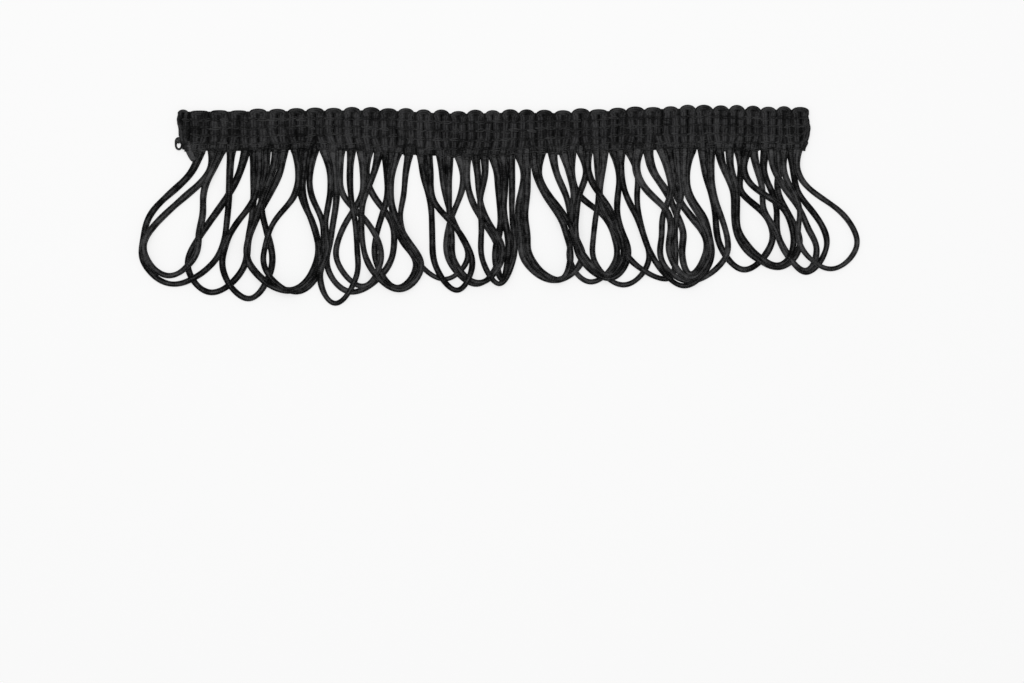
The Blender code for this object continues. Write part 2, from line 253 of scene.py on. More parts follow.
def slow_noise(rng: np.random.Generator, count: int, waves: int) -> Array:
    """A smooth random run between about -1 and 1.

    The sum of the first few sine waves over the run, each with a random height and phase.

    Args:
        rng: Seeded random numbers.
        count: Number of values wanted.
        waves: Number of waves in the sum.

    Returns:
        The values.
    """
    t = np.linspace(0, 1, count)[:, None]
    order = np.arange(1, waves + 1)
    phase = rng.uniform(0, 2 * np.pi, waves)
    height = rng.normal(0, 1, waves)
    return (np.sin(2 * np.pi * order * t + phase) * height).sum(axis=1) / np.sqrt(waves * 2)


@dataclass
class Surface:
    """Points, four-sided and three-sided faces, and what a material reads from them.

    Attributes:
        points: Places, as points by 3.
        quads: Numbers of the points round each four-sided face.
        quad_uv: UVs of these corners, as faces by 4 by 2.
        tris: Numbers of the points round each three-sided face.
        tri_uv: UVs of these corners, as faces by 3 by 2.
        tone: How much lighter the yarn is at each point: its own tone, plus the painted top light of tubes
            that have one.
    """

    points: Array
    quads: Array
    quad_uv: Array
    tris: Array
    tri_uv: Array
    tone: Array

    @classmethod
    def joined(cls, parts: list["Surface"]) -> "Surface":
        """One surface from several, which stay apart inside it.

        Args:
            parts: The surfaces.

        Returns:
            The joined surface.
        """
        starts = np.cumsum([0] + [len(part.points) for part in parts[:-1]])
        return cls(
            np.concatenate([part.points for part in parts]),
            np.concatenate([part.quads + start for part, start in zip(parts, starts)]),
            np.concatenate([part.quad_uv for part in parts]),
            np.concatenate([part.tris + start for part, start in zip(parts, starts)]),
            np.concatenate([part.tri_uv for part in parts]),
            np.concatenate([part.tone for part in parts]),
        )

    def triangles(self) -> int:
        """How many triangles the surface has."""
        return 2 * len(self.quads) + len(self.tris)

    def object(self, name: str, material: bpy.types.Material) -> bpy.types.Object:
        """Makes a smooth-shaded object of the surface, with its UV map and its tone attribute.

        Args:
            name: The object's name.
            material: Its material.

        Returns:
            The new object, linked to the scene.
        """
        mesh = bpy.data.meshes.new(name)
        corners = np.concatenate([self.quads.ravel(), self.tris.ravel()]).astype(np.int32)
        counts = np.concatenate([np.full(len(self.quads), 4), np.full(len(self.tris), 3)])
        mesh.vertices.add(len(self.points))
        mesh.vertices.foreach_set("co", self.points.astype(np.float32).ravel())
        mesh.loops.add(len(corners))
        mesh.loops.foreach_set("vertex_index", corners)
        mesh.polygons.add(len(counts))
        mesh.polygons.foreach_set("loop_start", (np.cumsum(counts) - counts).astype(np.int32))
        uv = np.concatenate([self.quad_uv.reshape(-1, 2), self.tri_uv.reshape(-1, 2)])
        mesh.uv_layers.new(name="UVMap").data.foreach_set("uv", uv.astype(np.float32).ravel())
        tone = mesh.attributes.new("tone", "FLOAT", "POINT")
        tone.data.foreach_set("value", self.tone.astype(np.float32))
        mesh.update(calc_edges=True)
        mesh.validate()
        mesh.shade_smooth()
        mesh.materials.append(material)
        made = bpy.data.objects.new(name, mesh)
        bpy.context.scene.collection.objects.link(made)
        return made


def tube_axes(paths: Array, closed: bool) -> tuple[Array, Array]:
    """Directions across and over paths that never stand upright.

    Across is level and square to the path, and over is square to both.

    Args:
        paths: Centre lines, as tubes by rings by 3.
        closed: Whether each path joins up with its own start.

    Returns:
        Both directions, each of length 1, as tubes by rings by 3.
    """
    if closed:
        ahead = np.roll(paths, -1, axis=1) - np.roll(paths, 1, axis=1)
    else:
        ahead = np.gradient(paths, axis=1)
    ahead /= np.linalg.norm(ahead, axis=2, keepdims=True)
    across = np.cross(ahead, UP)
    across /= np.linalg.norm(across, axis=2, keepdims=True)
    return across, np.cross(across, ahead)


def tube_walls(paths: Array, index: Array, girth: float, closed: bool) -> tuple[Array, Array]:
    """Faces round tubes from ring to ring, and their UVs.

    U runs once round the tube, and V along it, in lengths of its own girth.

    Args:
        paths: Centre lines, as tubes by rings by 3.
        index: Numbers of the points, as tubes by rings by sides.
        girth: Length once round a tube.
        closed: Whether each tube's last ring joins its first.

    Returns:
        The faces, as faces by 4, and the UVs of their corners.
    """
    count, _, sides = index.shape
    legs = np.linalg.norm(np.diff(paths, axis=1), axis=2)
    travelled = np.concatenate([np.zeros((count, 1)), np.cumsum(legs, axis=1)], axis=1) / girth
    if closed:
        first, second = index, np.roll(index, -1, axis=1)
        start_v, end_v = travelled, np.roll(travelled, -1, axis=1)
        end_v[:, -1] = travelled[:, -1] + legs.mean() / girth
    else:
        first, second = index[:, :-1], index[:, 1:]
        start_v, end_v = travelled[:, :-1], travelled[:, 1:]
    corners = [first, second, np.roll(second, -1, axis=2), np.roll(first, -1, axis=2)]
    u0 = np.broadcast_to(np.arange(sides) / sides, first.shape)
    u1 = u0 + 1 / sides
    v0 = np.broadcast_to(start_v[..., None], first.shape)
    v1 = np.broadcast_to(end_v[..., None], first.shape)
    uv = np.stack([u0, v0, u0, v1, u1, v1, u1, v0], axis=-1).reshape(-1, 4, 2)
    return np.stack(corners, axis=-1).reshape(-1, 4), uv


def tube_caps(index: Array, start_tips: Array, end_tips: Array) -> Array:
    """Faces that close both ends of tubes, as fans round a tip at each end.

    Args:
        index: Numbers of the points, as tubes by rings by sides.
        start_tips: Number of the tip at each tube's start.
        end_tips: Number of the tip at each tube's end.

    Returns:
        The faces, as faces by 3.
    """
    start, end = index[:, 0], index[:, -1]
    at_start = np.broadcast_to(start_tips[:, None], start.shape)
    at_end = np.broadcast_to(end_tips[:, None], end.shape)
    fans = [
        np.stack([at_start, start, np.roll(start, -1, axis=1)], axis=-1),
        np.stack([at_end, np.roll(end, -1, axis=1), end], axis=-1),
    ]
    return np.concatenate([fan.reshape(-1, 3) for fan in fans])


def tubes(
    paths: Array,
    wide: Array,
    high: Array,
    sides: int,
    tone: Array,
    relief: Array | float = 1.0,
    painted_top_light: float = 0.0,
    closed: bool = False,
) -> Surface:
    """Tubes of oval section along paths that never stand upright.

    A ring's points are centre + across cos(a) wide / 2 + over sin(a) high / 2. A point's tone is
    that of its tube + painted_top_light (sin(a) - 1/2): painted light, lighter on top and darker at
    the sides, as light from above falls.

    Args:
        paths: Centre lines, as tubes by rings by 3.
        wide: Width at each ring, as tubes by rings.
        high: Height at each ring, as tubes by rings.
        sides: Number of sides.
        tone: One value for each tube, or for each of its rings.
        relief: What each point's distance from the centre line is multiplied by.
        painted_top_light: Painted light: how much lighter a tube is painted on top than at its sides, as
            light from above falls.
        closed: Whether each path joins up with its own start.

    Returns:
        The surface, with capped ends where the paths are open.
    """
    count, rings, _ = paths.shape
    across, over = tube_axes(paths, closed)
    angle = np.arange(sides) * 2 * np.pi / sides
    out_wide = wide[:, :, None] / 2 * np.cos(angle) * relief
    out_high = high[:, :, None] / 2 * np.sin(angle) * relief
    ring_points = (
        paths[:, :, None, :]
        + across[:, :, None, :] * out_wide[..., None]
        + over[:, :, None, :] * out_high[..., None]
    )
    points = ring_points.reshape(-1, 3)
    index = np.arange(len(points)).reshape(count, rings, sides)
    girth = np.pi * (wide.mean() + high.mean()) / 2
    quads, quad_uv = tube_walls(paths, index, girth, closed)
    ring_tone = np.broadcast_to(tone.reshape(count, -1), (count, rings))
    # Painted light: each ring's top is painted lighter and its sides darker.
    point_tone = (ring_tone[:, :, None] + painted_top_light * (np.sin(angle) - 0.5)).ravel()
    tris = np.zeros((0, 3), int)
    if not closed:
        start_tips = len(points) + np.arange(count)
        tris = tube_caps(index, start_tips, start_tips + count)
        points = np.concatenate([points, paths[:, 0], paths[:, -1]])
        point_tone = np.concatenate([point_tone, ring_tone[:, 0], ring_tone[:, -1]])
    return Surface(points, quads, quad_uv, tris, np.zeros((len(tris), 3, 2)), point_tone)


def lengths(points: Array) -> Array:
    """Lengths of a polyline's pieces."""
    return np.linalg.norm(np.diff(points, axis=0), axis=1)


def resampled(points: Array, count: int) -> Array:
    """Points evenly spaced along a close polyline.

    Args:
        points: The polyline, as points by coordinates.
        count: Number of points wanted.

    Returns:
        The new points.
    """
    travelled = np.concatenate([[0], np.cumsum(lengths(points))])
    wanted = np.linspace(0, travelled[-1], count)
    return np.column_stack([np.interp(wanted, travelled, column) for column in points.T])


class Socket(NamedTuple):
    """One socket of a shader node group.

    Attributes:
        name: Its name.
        kind: Its type, such as Float or Vector.
        value: Its usual value, or None where it has none of its own.
    """

    name: str
    kind: str
    value: float | None = None


class NodeSketch:
    """Adds and links shader nodes in one tree."""

    def __init__(self, tree: bpy.types.NodeTree) -> None:
        """Keeps the tree."""
        self.tree = tree

    def add(self, kind: str, **settings: object) -> bpy.types.Node:
        """Adds a node and sets its properties.

        Args:
            kind: The node's type.
            settings: Its properties by name.

        Returns:
            The new node.
        """
        node = self.tree.nodes.new(kind)
        for name, value in settings.items():
            setattr(node, name, value)
        return node

    def feed(self, socket: bpy.types.NodeSocket, source: object) -> None:
        """Links a socket to another one, or sets its value.

        Args:
            socket: The input socket.
            source: An output socket or a value.
        """
        if isinstance(source, bpy.types.NodeSocket):
            self.tree.links.new(source, socket)
        else:
            socket.default_value = source

    def math(self, operation: str, *sources: object) -> bpy.types.NodeSocket:
        """Adds a Math node.

        Args:
            operation: The node's operation.
            sources: A socket or a number for each of its inputs.

        Returns:
            Its output.
        """
        node = self.add("ShaderNodeMath", operation=operation)
        for socket, source in zip(node.inputs, sources):
            self.feed(socket, source)
        return node.outputs[0]

    def mixed(self, share: object, first: object, second: object) -> bpy.types.NodeSocket:
        """Adds a colour mix.

        Args:
            share: How much of the second colour shows.
            first: A socket or a colour.
            second: A socket or a colour.

        Returns:
            The mixed colour.
        """
        node = self.add("ShaderNodeMix", data_type="RGBA", clamp_factor=True)
        self.feed(node.inputs["Factor"], share)
        self.feed(node.inputs[MIX_FIRST], first)
        self.feed(node.inputs[MIX_SECOND], second)
        return node.outputs[MIX_RESULT]

    def noise(self, vector: object, scale: object, detail: float) -> bpy.types.NodeSocket:
        """Adds a noise texture.

        Args:
            vector: Place to read it at.
            scale: Its scale, a socket or a number.
            detail: How many finer octaves it has.

        Returns:
            Its value, from 0 to 1.
        """
        node = self.add("ShaderNodeTexNoise", noise_dimensions="3D")
        self.feed(node.inputs["Vector"], vector)
        self.feed(node.inputs["Scale"], scale)
        node.inputs["Detail"].default_value = detail
        return node.outputs["Fac"]


def node_group(name: str, inputs: list[Socket], outputs: list[Socket]) -> tuple:
    """Makes an empty shader node group.

    Args:
        name: The group's name.
        inputs: Its input sockets.
        outputs: Its output sockets.

    Returns:
        The group, a sketch of its tree, its input node's outputs and its output node's inputs.
    """
    tree = bpy.data.node_groups.new(name, "ShaderNodeTree")
    for direction, sockets in (("INPUT", inputs), ("OUTPUT", outputs)):
        for socket in sockets:
            made = tree.interface.new_socket(
                name=socket.name, in_out=direction, socket_type="NodeSocket" + socket.kind
            )
            if socket.value is not None:
                made.default_value = socket.value
    sketch = NodeSketch(tree)
    return tree, sketch, sketch.add("NodeGroupInput").outputs, sketch.add("NodeGroupOutput").inputs


def around_cord(sketch: NodeSketch, uv: object, radius: float, along: float) -> tuple:
    """Splits a cord's UV, and makes from it a place in space that has no seam.

    The place is (r cos 2 pi u, r sin 2 pi u, s v), so a noise read there closes round the cord.

    Args:
        sketch: The tree to add to.
        uv: The cord's UV.
        radius: r, in which a larger value means more change round the cord.
        along: s, in which a larger value means more change along it.

    Returns:
        The sockets u and v, and the place.
    """
    split = sketch.add("ShaderNodeSeparateXYZ")
    sketch.feed(split.inputs[0], uv)
    u, v = split.outputs[0], split.outputs[1]
    angle = sketch.math("MULTIPLY", u, 2 * np.pi)
    place = sketch.add("ShaderNodeCombineXYZ")
    sketch.feed(place.inputs[0], sketch.math("MULTIPLY", sketch.math("COSINE", angle), radius))
    sketch.feed(place.inputs[1], sketch.math("MULTIPLY", sketch.math("SINE", angle), radius))
    sketch.feed(place.inputs[2], sketch.math("MULTIPLY", v, along))
    return u, v, place.outputs[0]


def knitted_cord_group() -> bpy.types.NodeTree:
    """The face of a round knitted cord, as columns of slanting stitches along it.

    Across a column, d runs from 0 in its middle to 1 in the groove beside it. The stitches are
    waves along the cord, put off by half a stitch toward the grooves, so that they form Vs. The
    height is (1 - d^3) times (1 - w + w wave), where w is the waves' share. Streaks are a noise
    that closes round the cord.

    Returns:
        The group.
    """
    put_off = 0.55
    groove_power = 3.0
    wave_share = 0.55
    wander_share = 0.5
    tree, sketch, given, result = node_group(
        "knitted_cord",
        [
            Socket("UV", "Vector"),
            Socket("Columns", "Float", 6.0),
            Socket("Stitches", "Float", 9.0),
        ],
        [Socket("Height", "Float"), Socket("Streak", "Float")],
    )
    u, v, place = around_cord(sketch, given["UV"], radius=0.6, along=0.9)
    uneven = sketch.math("SUBTRACT", sketch.noise(place, scale=2.0, detail=1.0), 0.5)
    wander = sketch.math("MULTIPLY", uneven, wander_share)
    around = sketch.math("MULTIPLY_ADD", u, given["Columns"], wander)
    from_middle = sketch.math("ABSOLUTE", sketch.math("SUBTRACT", sketch.math("FRACT", around), 0.5))
    d = sketch.math("MULTIPLY", from_middle, 2.0)
    along = sketch.math("MULTIPLY_ADD", v, given["Stitches"], wander)
    phase = sketch.math("FRACT", sketch.math("MULTIPLY_ADD", d, put_off, along))
    wave = sketch.math("SINE", sketch.math("MULTIPLY", phase, np.pi))
    body = sketch.math("SUBTRACT", 1.0, sketch.math("POWER", d, groove_power))
    waves = sketch.math("MULTIPLY_ADD", wave, wave_share, 1 - wave_share)
    sketch.feed(result["Height"], sketch.math("MULTIPLY", body, waves))
    sketch.feed(result["Streak"], sketch.noise(place, scale=2.4, detail=3.0))
    return tree


def plied_yarn_group() -> bpy.types.NodeTree:
    """The face of a plied yarn: ridges that run round it as they run along it, and streaks.

    The height is sin(pi phase), where the phase is the fraction of plies (u + twist v).

    Returns:
        The group.
    """
    tree, sketch, given, result = node_group(
        "plied_yarn",
        [Socket("UV", "Vector"), Socket("Plies", "Float", 3.0), Socket("Twist", "Float", 1.0)],
        [Socket("Height", "Float"), Socket("Streak", "Float")],
    )
    u, v, place = around_cord(sketch, given["UV"], radius=0.8, along=0.8)
    turned = sketch.math("MULTIPLY_ADD", v, given["Twist"], u)
    phase = sketch.math("FRACT", sketch.math("MULTIPLY", turned, given["Plies"]))
    sketch.feed(result["Height"], sketch.math("SINE", sketch.math("MULTIPLY", phase, np.pi)))
    sketch.feed(result["Streak"], sketch.noise(place, scale=2.0, detail=2.0))
    return tree


def mottle_group() -> bpy.types.NodeTree:
    """Uneven dye and wear of yarn: slow shading, and the fine grain of its fibres.

    Each is a noise drawn out to 1/2 + k (noise - 1/2), as a plain one seldom leaves the middle.

    Returns:
        The group.
    """
    tree, sketch, given, result = node_group(
        "yarn_mottle",
        [
            Socket("Vector", "Vector"),
            Socket("Slow", "Float", 260.0),
            Socket("Fine", "Float", 1500.0),
            Socket("Contrast", "Float", 2.6),
        ],
        [Socket("Shade", "Float"), Socket("Grain", "Float")],
    )
    for output, size in (("Shade", "Slow"), ("Grain", "Fine")):
        noise = sketch.noise(given["Vector"], scale=given[size], detail=3.0)
        centred = sketch.math("SUBTRACT", noise, 0.5)
        sketch.feed(result[output], sketch.math("MULTIPLY_ADD", centred, given["Contrast"], 0.5))
    return tree


class YarnFace(Enum):
    """How the face of a yarn is made: its node group, and that group's counts round and along."""

    KNITTED = ("knitted_cord", "Columns", "Stitches")
    PLIED = ("plied_yarn", "Plies", "Twist")


class LitShares(NamedTuple):
    """How much each cause adds to a yarn's lightness, and what is taken off the sum.

    The lightness runs from 0, for the colour of its hollows, to 1, for that of its stitches, so that the
    face's height paints shade into the hollows and light onto the raised stitches.

    Attributes:
        height: Share of the height of its face, which is painted shade in its hollows and painted light on
            its raised stitches.
        shade: Share of the slow shading.
        grain: Share of the grain of its fibres.
        streak: Share of the streaks.
        taken_off: What is taken off the sum.
    """

    height: float = 0.75
    shade: float = 0.5
    grain: float = 0.5
    streak: float = 1.6
    taken_off: float = 1.41


@dataclass(frozen=True)
class YarnFinish:
    """The look of one yarn, near black.

    Attributes:
        name: The material's name.
        face: How its face is made.
        deep: Darkest colour: painted shade in its hollows, and the darkest of its mottle.
        raised: Lightest colour: painted light on its raised stitches, and the lightest of its mottle.
        roughness: Mean roughness of its fibres.
        relief: Height of its face, in metres.
        repeat: Columns or plies round it.
        pitch: Stitches, or turns of the plies, in a length of its girth.
        lit: What makes it lighter or darker.
        rough_range: How far its roughness ranges with the grain of its fibres.
        shine: Strength of its reflections.
        fibre_relief: Height of the fibres' grain, as a share of the face's.
    """

    name: str
    face: YarnFace
    deep: tuple[float, float, float]
    raised: tuple[float, float, float]
    roughness: float
    relief: float
    repeat: float
    pitch: float
    lit: LitShares = LitShares()
    rough_range: float = 0.2
    shine: float = 0.08
    fibre_relief: float = 0.35

    def material(self, groups: dict[str, bpy.types.NodeTree]) -> bpy.types.Material:
        """Builds the material.

        The lightness is tone + the sum of each cause times its share - what is taken off, and it
        mixes the deep and the raised colour. The face's height paints shade into the hollows, and
        the tone brings the painted top light.

        Args:
            groups: The shader node groups by name.

        Returns:
            The new material.
        """
        material = bpy.data.materials.new(self.name)
        material.use_nodes = True
        sketch = NodeSketch(material.node_tree)
        surface = material.node_tree.nodes["Principled BSDF"]
        places = sketch.add("ShaderNodeTexCoord")
        mottle = sketch.add("ShaderNodeGroup", node_tree=groups["yarn_mottle"])
        sketch.feed(mottle.inputs["Vector"], places.outputs["Object"])
        group, count_round, count_along = self.face.value
        face = sketch.add("ShaderNodeGroup", node_tree=groups[group])
        sketch.feed(face.inputs["UV"], places.outputs["UV"])
        sketch.feed(face.inputs[count_round], self.repeat)
        sketch.feed(face.inputs[count_along], self.pitch)
        # The tone attribute holds the yarn's own tone and the painted top light.
        tone = sketch.add("ShaderNodeAttribute", attribute_name="tone")
        height = face.outputs["Height"]
        grain = mottle.outputs["Grain"]
        # Painted shade: the face's height darkens the hollows and lightens the raised stitches; the mottle
        # and streaks are the yarn's own.
        causes = (
            (height, self.lit.height),
            (mottle.outputs["Shade"], self.lit.shade),
            (grain, self.lit.grain),
            (face.outputs["Streak"], self.lit.streak),
        )
        light = tone.outputs["Fac"]
        for cause, share in causes:
            light = sketch.math("MULTIPLY_ADD", cause, share, light)
        light = sketch.math("SUBTRACT", light, self.lit.taken_off)
        colour = sketch.mixed(light, (*self.deep, 1.0), (*self.raised, 1.0))
        sketch.feed(surface.inputs["Base Color"], colour)
        least_rough = self.roughness - self.rough_range / 2
        rough = sketch.math("MULTIPLY_ADD", grain, self.rough_range, least_rough)
        sketch.feed(surface.inputs["Roughness"], rough)
        surface.inputs["Specular IOR Level"].default_value = self.shine
        bump = sketch.add("ShaderNodeBump")
        bump.inputs["Strength"].default_value = 1.0
        bump.inputs["Distance"].default_value = self.relief
        sketch.feed(bump.inputs["Height"], sketch.math("MULTIPLY_ADD", grain, self.fibre_relief, height))
        sketch.feed(surface.inputs["Normal"], bump.outputs["Normal"])
        return material


LOOP_CORD = YarnFinish(
    name="loop_cord",
    face=YarnFace.KNITTED,
    deep=(0.0002, 0.0002, 0.0003),
    raised=(0.058, 0.058, 0.059),
    roughness=0.75,
    relief=0.00007,
    repeat=6.0,
    pitch=9.0,
)
RIB_CORD = YarnFinish(
    name="rib_cord",
    face=YarnFace.KNITTED,
    deep=(0.0032, 0.0032, 0.0033),
    raised=(0.040, 0.040, 0.041),
    roughness=0.8,
    relief=0.00007,
    repeat=8.0,
    pitch=10.0,
)
STITCH_YARN = YarnFinish(
    name="stitch_yarn",
    face=YarnFace.PLIED,
    deep=(0.0025, 0.0025, 0.0026),
    raised=(0.056, 0.056, 0.057),
    roughness=0.8,
    relief=0.00005,
    repeat=3.0,
    pitch=1.2,
)
GROUND_YARN = YarnFinish(
    name="ground_yarn",
    face=YarnFace.PLIED,
    deep=(0.0020, 0.0020, 0.0021),
    raised=(0.027, 0.027, 0.0275),
    roughness=0.9,
    relief=0.00008,
    repeat=1.0,
    pitch=0.0,
)


@dataclass
class FringeLoops:
    """The cord loops, laid on the floor and over each other.

    Attributes:
        ring_step: Distance between rings along the cord.
        root_wide: Width of a leg in its upper part.
        middle_wide: Width of a leg at its middle.
        foot_wide: Width at the foot.
        foot_share: Share of the loop's drop over which the foot widens to the middle width.
        flare: Share by which a leg widens where it leaves the heading.
        flare_long: How far below the heading the flare has sunk to a third.
        uneven: How much one loop's width differs from another's, as a share.
        uneven_along: How much the width changes along a loop, as a share.
        uneven_waves: Number of waves in that change.
        high: Height of the cord, which lies a little flattened.
        press_wide: Share of their mean width at which two cords side by side touch.
        press_high: Share of its height by which a cord rises over another.
        root_height: Height of the cord's centre where it leaves the heading.
        hidden: How far each leg goes on under the heading, in squares.
        hidden_rings: Number of rings there.
        sag: How far each settling round lets the cord down.
        rounds: Number of settling rounds.
        foot_clear: Distance from the foot within which its two legs don't cross each other.
        starts: Each turn of laying starts at one of these loops and takes every third.
        sides: Number of sides of the cord's section.
        wales: Number of wales round the cord.
        wale_high: Height of the wales, as a share of the cord's radius.
        wale_turn: Length of cord in which the wales turn once round it.
        tones: Least and greatest tone of a loop.
        tone_along: How much the tone changes along a loop.
        tone_waves: Number of waves in that change.
        painted_top_light: Painted light: how much lighter a cord is painted on top than at its sides.
        seed: Start of the random numbers.
    """

    ring_step: float = 0.0005
    root_wide: float = 0.00228
    middle_wide: float = 0.00196
    foot_wide: float = 0.00172
    foot_share: float = 0.16
    flare: float = 0.36
    flare_long: float = 0.0026
    uneven: float = 0.03
    uneven_along: float = 0.06
    uneven_waves: int = 9
    high: float = 0.00150
    press_wide: float = 0.96
    press_high: float = 0.88
    root_height: float = 0.00105
    hidden: float = 6.0
    hidden_rings: int = 6
    sag: float = 0.000012
    rounds: int = 160
    foot_clear: float = 0.008
    starts: tuple[int, int, int] = (2, 0, 1)
    sides: int = 18
    wales: int = 6
    wale_high: float = 0.05
    wale_turn: float = 0.05
    tones: tuple[float, float] = (-0.35, 0.05)
    tone_along: float = 0.12
    tone_waves: int = 12
    painted_top_light: float = 0.35
    seed: int = 7

    def plan(self, loop: Loop) -> Array:
        """Centre line of a loop seen from above: a natural spline through its places.

        The spline's parameter grows by the square root of each chord, which keeps it from
        swinging out between near places.

        Args:
            loop: The loop's places.

        Returns:
            Points by 2, a ring step apart, from the left root to the right root.
        """
        roots = edge_level([loop.left_root, loop.right_root], "lower")
        steps = len(loop.left_leg) + 1
        shares = np.arange(1, steps) / steps
        left_levels = roots[0] + (loop.foot_level - roots[0]) * shares
        right_levels = roots[1] + (loop.foot_level - roots[1]) * shares
        places = [loop.left_root, *loop.left_leg, loop.foot, *loop.right_leg[::-1], loop.right_root]
        levels = [roots[0], *left_levels, loop.foot_level, *right_levels[::-1], roots[1]]
        knots = np.column_stack([SHEET.x(places), SHEET.y(levels)])
        marks = np.concatenate([[0], np.cumsum(lengths(knots) ** 0.5)])
        fine = natural_spline(marks, knots, np.linspace(0, marks[-1], FINE_POINTS))
        return resampled(fine, round(lengths(fine).sum() / self.ring_step) + 1)

    def widths(self, plan: Array, rng: np.random.Generator) -> Array:
        """Width along a loop: widest at the roots, and least right at the foot.

        It eases from the foot's width to the middle's and on to the roots', and it flares as
        f exp(-d / l) at a distance d below the roots.

        Args:
            plan: The loop's centre line.
            rng: Seeded random numbers.

        Returns:
            A width for each point.
        """
        drop = plan[:, 1] - plan[:, 1].min()
        share = drop / drop.max()
        wide = np.where(
            share > 0.5,
            self.middle_wide + (self.root_wide - self.middle_wide) * eased(share * 2 - 1),
            self.foot_wide + (self.middle_wide - self.foot_wide) * eased(share / self.foot_share),
        )
        flare = self.flare * np.exp((plan[:, 1] - plan[[0, -1], 1].min()) / self.flare_long)
        uneven = rng.normal(0, self.uneven)
        uneven = uneven + self.uneven_along * slow_noise(rng, len(plan), self.uneven_waves)
        return wide * (1 + np.minimum(flare, self.flare) + uneven)

    def resting(self, plan: Array, wide: Array, beneath: Array) -> Array:
        """Least height of the cord's centre at each point, on the floor or on what lies beneath.

        Over a cord at distance d, that is its height + H sqrt(1 - (d / W)^2), where W is the mean
        of their widths and H their height, a little less where soft cords press together.

        Args:
            plan: The cord's centre line.
            wide: Its widths.
            beneath: Centre points laid before, as x, y, height and width.

        Returns:
            The heights.
        """
        floor = np.full(len(plan), self.high / 2)
        if not len(beneath):
            return floor
        apart = np.linalg.norm(plan[:, None, :] - beneath[None, :, :2], axis=2)
        reach = self.press_wide * (wide[:, None] + beneath[None, :, 3]) / 2
        rise = self.press_high * self.high * np.sqrt(np.clip(1 - (apart / reach) ** 2, 0, None))
        over = np.where(apart < reach, beneath[None, :, 2] + rise, 0).max(axis=1)
        return np.maximum(floor, over)

    def settled(self, least: Array) -> Array:
        """Heights of a soft cord that bridges from one support to the next.

        Each round takes the mean of every point's neighbours, lets it down a little, and keeps it
        above its least height, so that it comes down from a crossing in a parabola.

        Args:
            least: Least height at each point.

        Returns:
            The settled heights.
        """
        heights = least.copy()
        for _ in range(self.rounds):
            mean = heights.copy()
            mean[1:-1] = (heights[:-2] + 2 * heights[1:-1] + heights[2:]) / 4 - self.sag
            mean[[0, -1]] = self.root_height
            heights = np.maximum(least, mean)
            heights[[0, -1]] = self.root_height
        return heights

    def laid(self, plans: list[Array], widths: list[Array]) -> list[Array]:
        """Lays the loops one after another, each leg over all that lies there.

        Args:
            plans: Centre lines.
            widths: Widths along them.

        Returns:
            Heights of the cords' centres.
        """
        beneath = np.zeros((0, 4))
        heights: dict[int, Array] = {}
        step = len(self.starts)
        order = [i for start in self.starts for i in range(start, len(plans), step)]
        for turn in order:
            plan, wide = plans[turn], widths[turn]
            foot = int(plan[:, 1].argmin())
            least = self.resting(plan, wide, beneath)
            found = self.settled(least)
            far = np.linalg.norm(plan[:foot] - plan[foot], axis=1) > self.foot_clear
            own = np.column_stack([plan[:foot], found[:foot], wide[:foot]])[far]
            least[foot:] = np.maximum(least[foot:], self.resting(plan[foot:], wide[foot:], own))
            heights[turn] = self.settled(least)
            beneath = np.concatenate([beneath, np.column_stack([plan, heights[turn], wide])])
        return [heights[turn] for turn in range(len(plans))]

    def extended(self, path: Array, wide: Array) -> tuple[Array, Array]:
        """Carries both ends of a loop on under the heading, straight up the sheet.

        Args:
            path: The loop's centre line.
            wide: Its widths.

        Returns:
            The longer path and widths.
        """
        count = self.hidden_rings
        reach = np.linspace(self.hidden, self.hidden / count, count)[:, None] * SHEET.square
        ends = [end + reach * np.array([0.0, 1.0, 0.0]) for end in (path[0], path[-1])]
        longer = np.concatenate([ends[0], path, ends[1][::-1]])
        return longer, np.concatenate([np.full(count, wide[0]), wide, np.full(count, wide[-1])])

    def relief(self, rings: int, phase: float) -> Array:
        """What the wales of the knitted cord add to its distance from its centre.

        1 + h |cos(n (a + t) / 2)| - h / 2, for n wales, the angle a and a slow twist t.

        Args:
            rings: Number of rings.
            phase: Angle of the wales at the start.

        Returns:
            Factors as 1 by rings by sides.
        """
        angle = np.arange(self.sides) * 2 * np.pi / self.sides
        twist = phase + np.arange(rings) * self.ring_step / self.wale_turn * 2 * np.pi
        waves = np.abs(np.cos(self.wales / 2 * (angle[None, :] + twist[:, None])))
        return (1 + self.wale_high * waves - self.wale_high / 2)[None]

    def build(self, material: bpy.types.Material) -> list[bpy.types.Object]:
        """Builds the loops as three pieces, in the order in which they were laid.

        Args:
            material: The cord's material.

        Returns:
            The pieces.
        """
        rng = np.random.default_rng(self.seed)
        plans = [self.plan(loop) for loop in LOOPS]
        widths = [loop.fullness * self.widths(plan, rng) for loop, plan in zip(LOOPS, plans)]
        pieces = []
        surfaces: list[list[Surface]] = [[] for _ in self.starts]
        for i, heights in enumerate(self.laid(plans, widths)):
            path, wide = self.extended(np.column_stack([plans[i], heights]), widths[i])
            tone = rng.uniform(*self.tones)
            tone = tone + self.tone_along * slow_noise(rng, len(path), self.tone_waves)
            relief = self.relief(len(path), rng.uniform(0, 2 * np.pi))
            high = np.full((1, len(path)), self.high)
            # Painted light: the cord is painted lighter on top than at its sides.
            surface = tubes(path[None], wide[None], high, self.sides, tone, relief, self.painted_top_light)
            surfaces[self.starts.index(i % len(self.starts))].append(surface)
        for group, name in zip(surfaces, ("loops_under", "loops_middle", "loops_over")):
            joined = Surface.joined(group)
            LOG.info("%s: %d loops, %d triangles", name, len(group), joined.triangles())
            pieces.append(joined.object(name, material))
        return pieces


class Corner(NamedTuple):
    """A lower corner of the band that is cut away, in squares.

    Past its start, the lower edge rises by deep s^power, where s is the share of its length gone.

    Attributes:
        start: Place where the edge starts to rise.
        long: Distance over which it rises, less than 0 where that runs to the left.
        deep: How far it rises in all.
        power: Power of the rise, larger for a sharper corner.
    """

    start: float
    long: float
    deep: float
    power: float

    def rise(self, places: Array) -> Array:
        """How far the lower edge rises at places along the sheet."""
        return self.deep * np.clip((places - self.start) / self.long, 0, 1) ** self.power


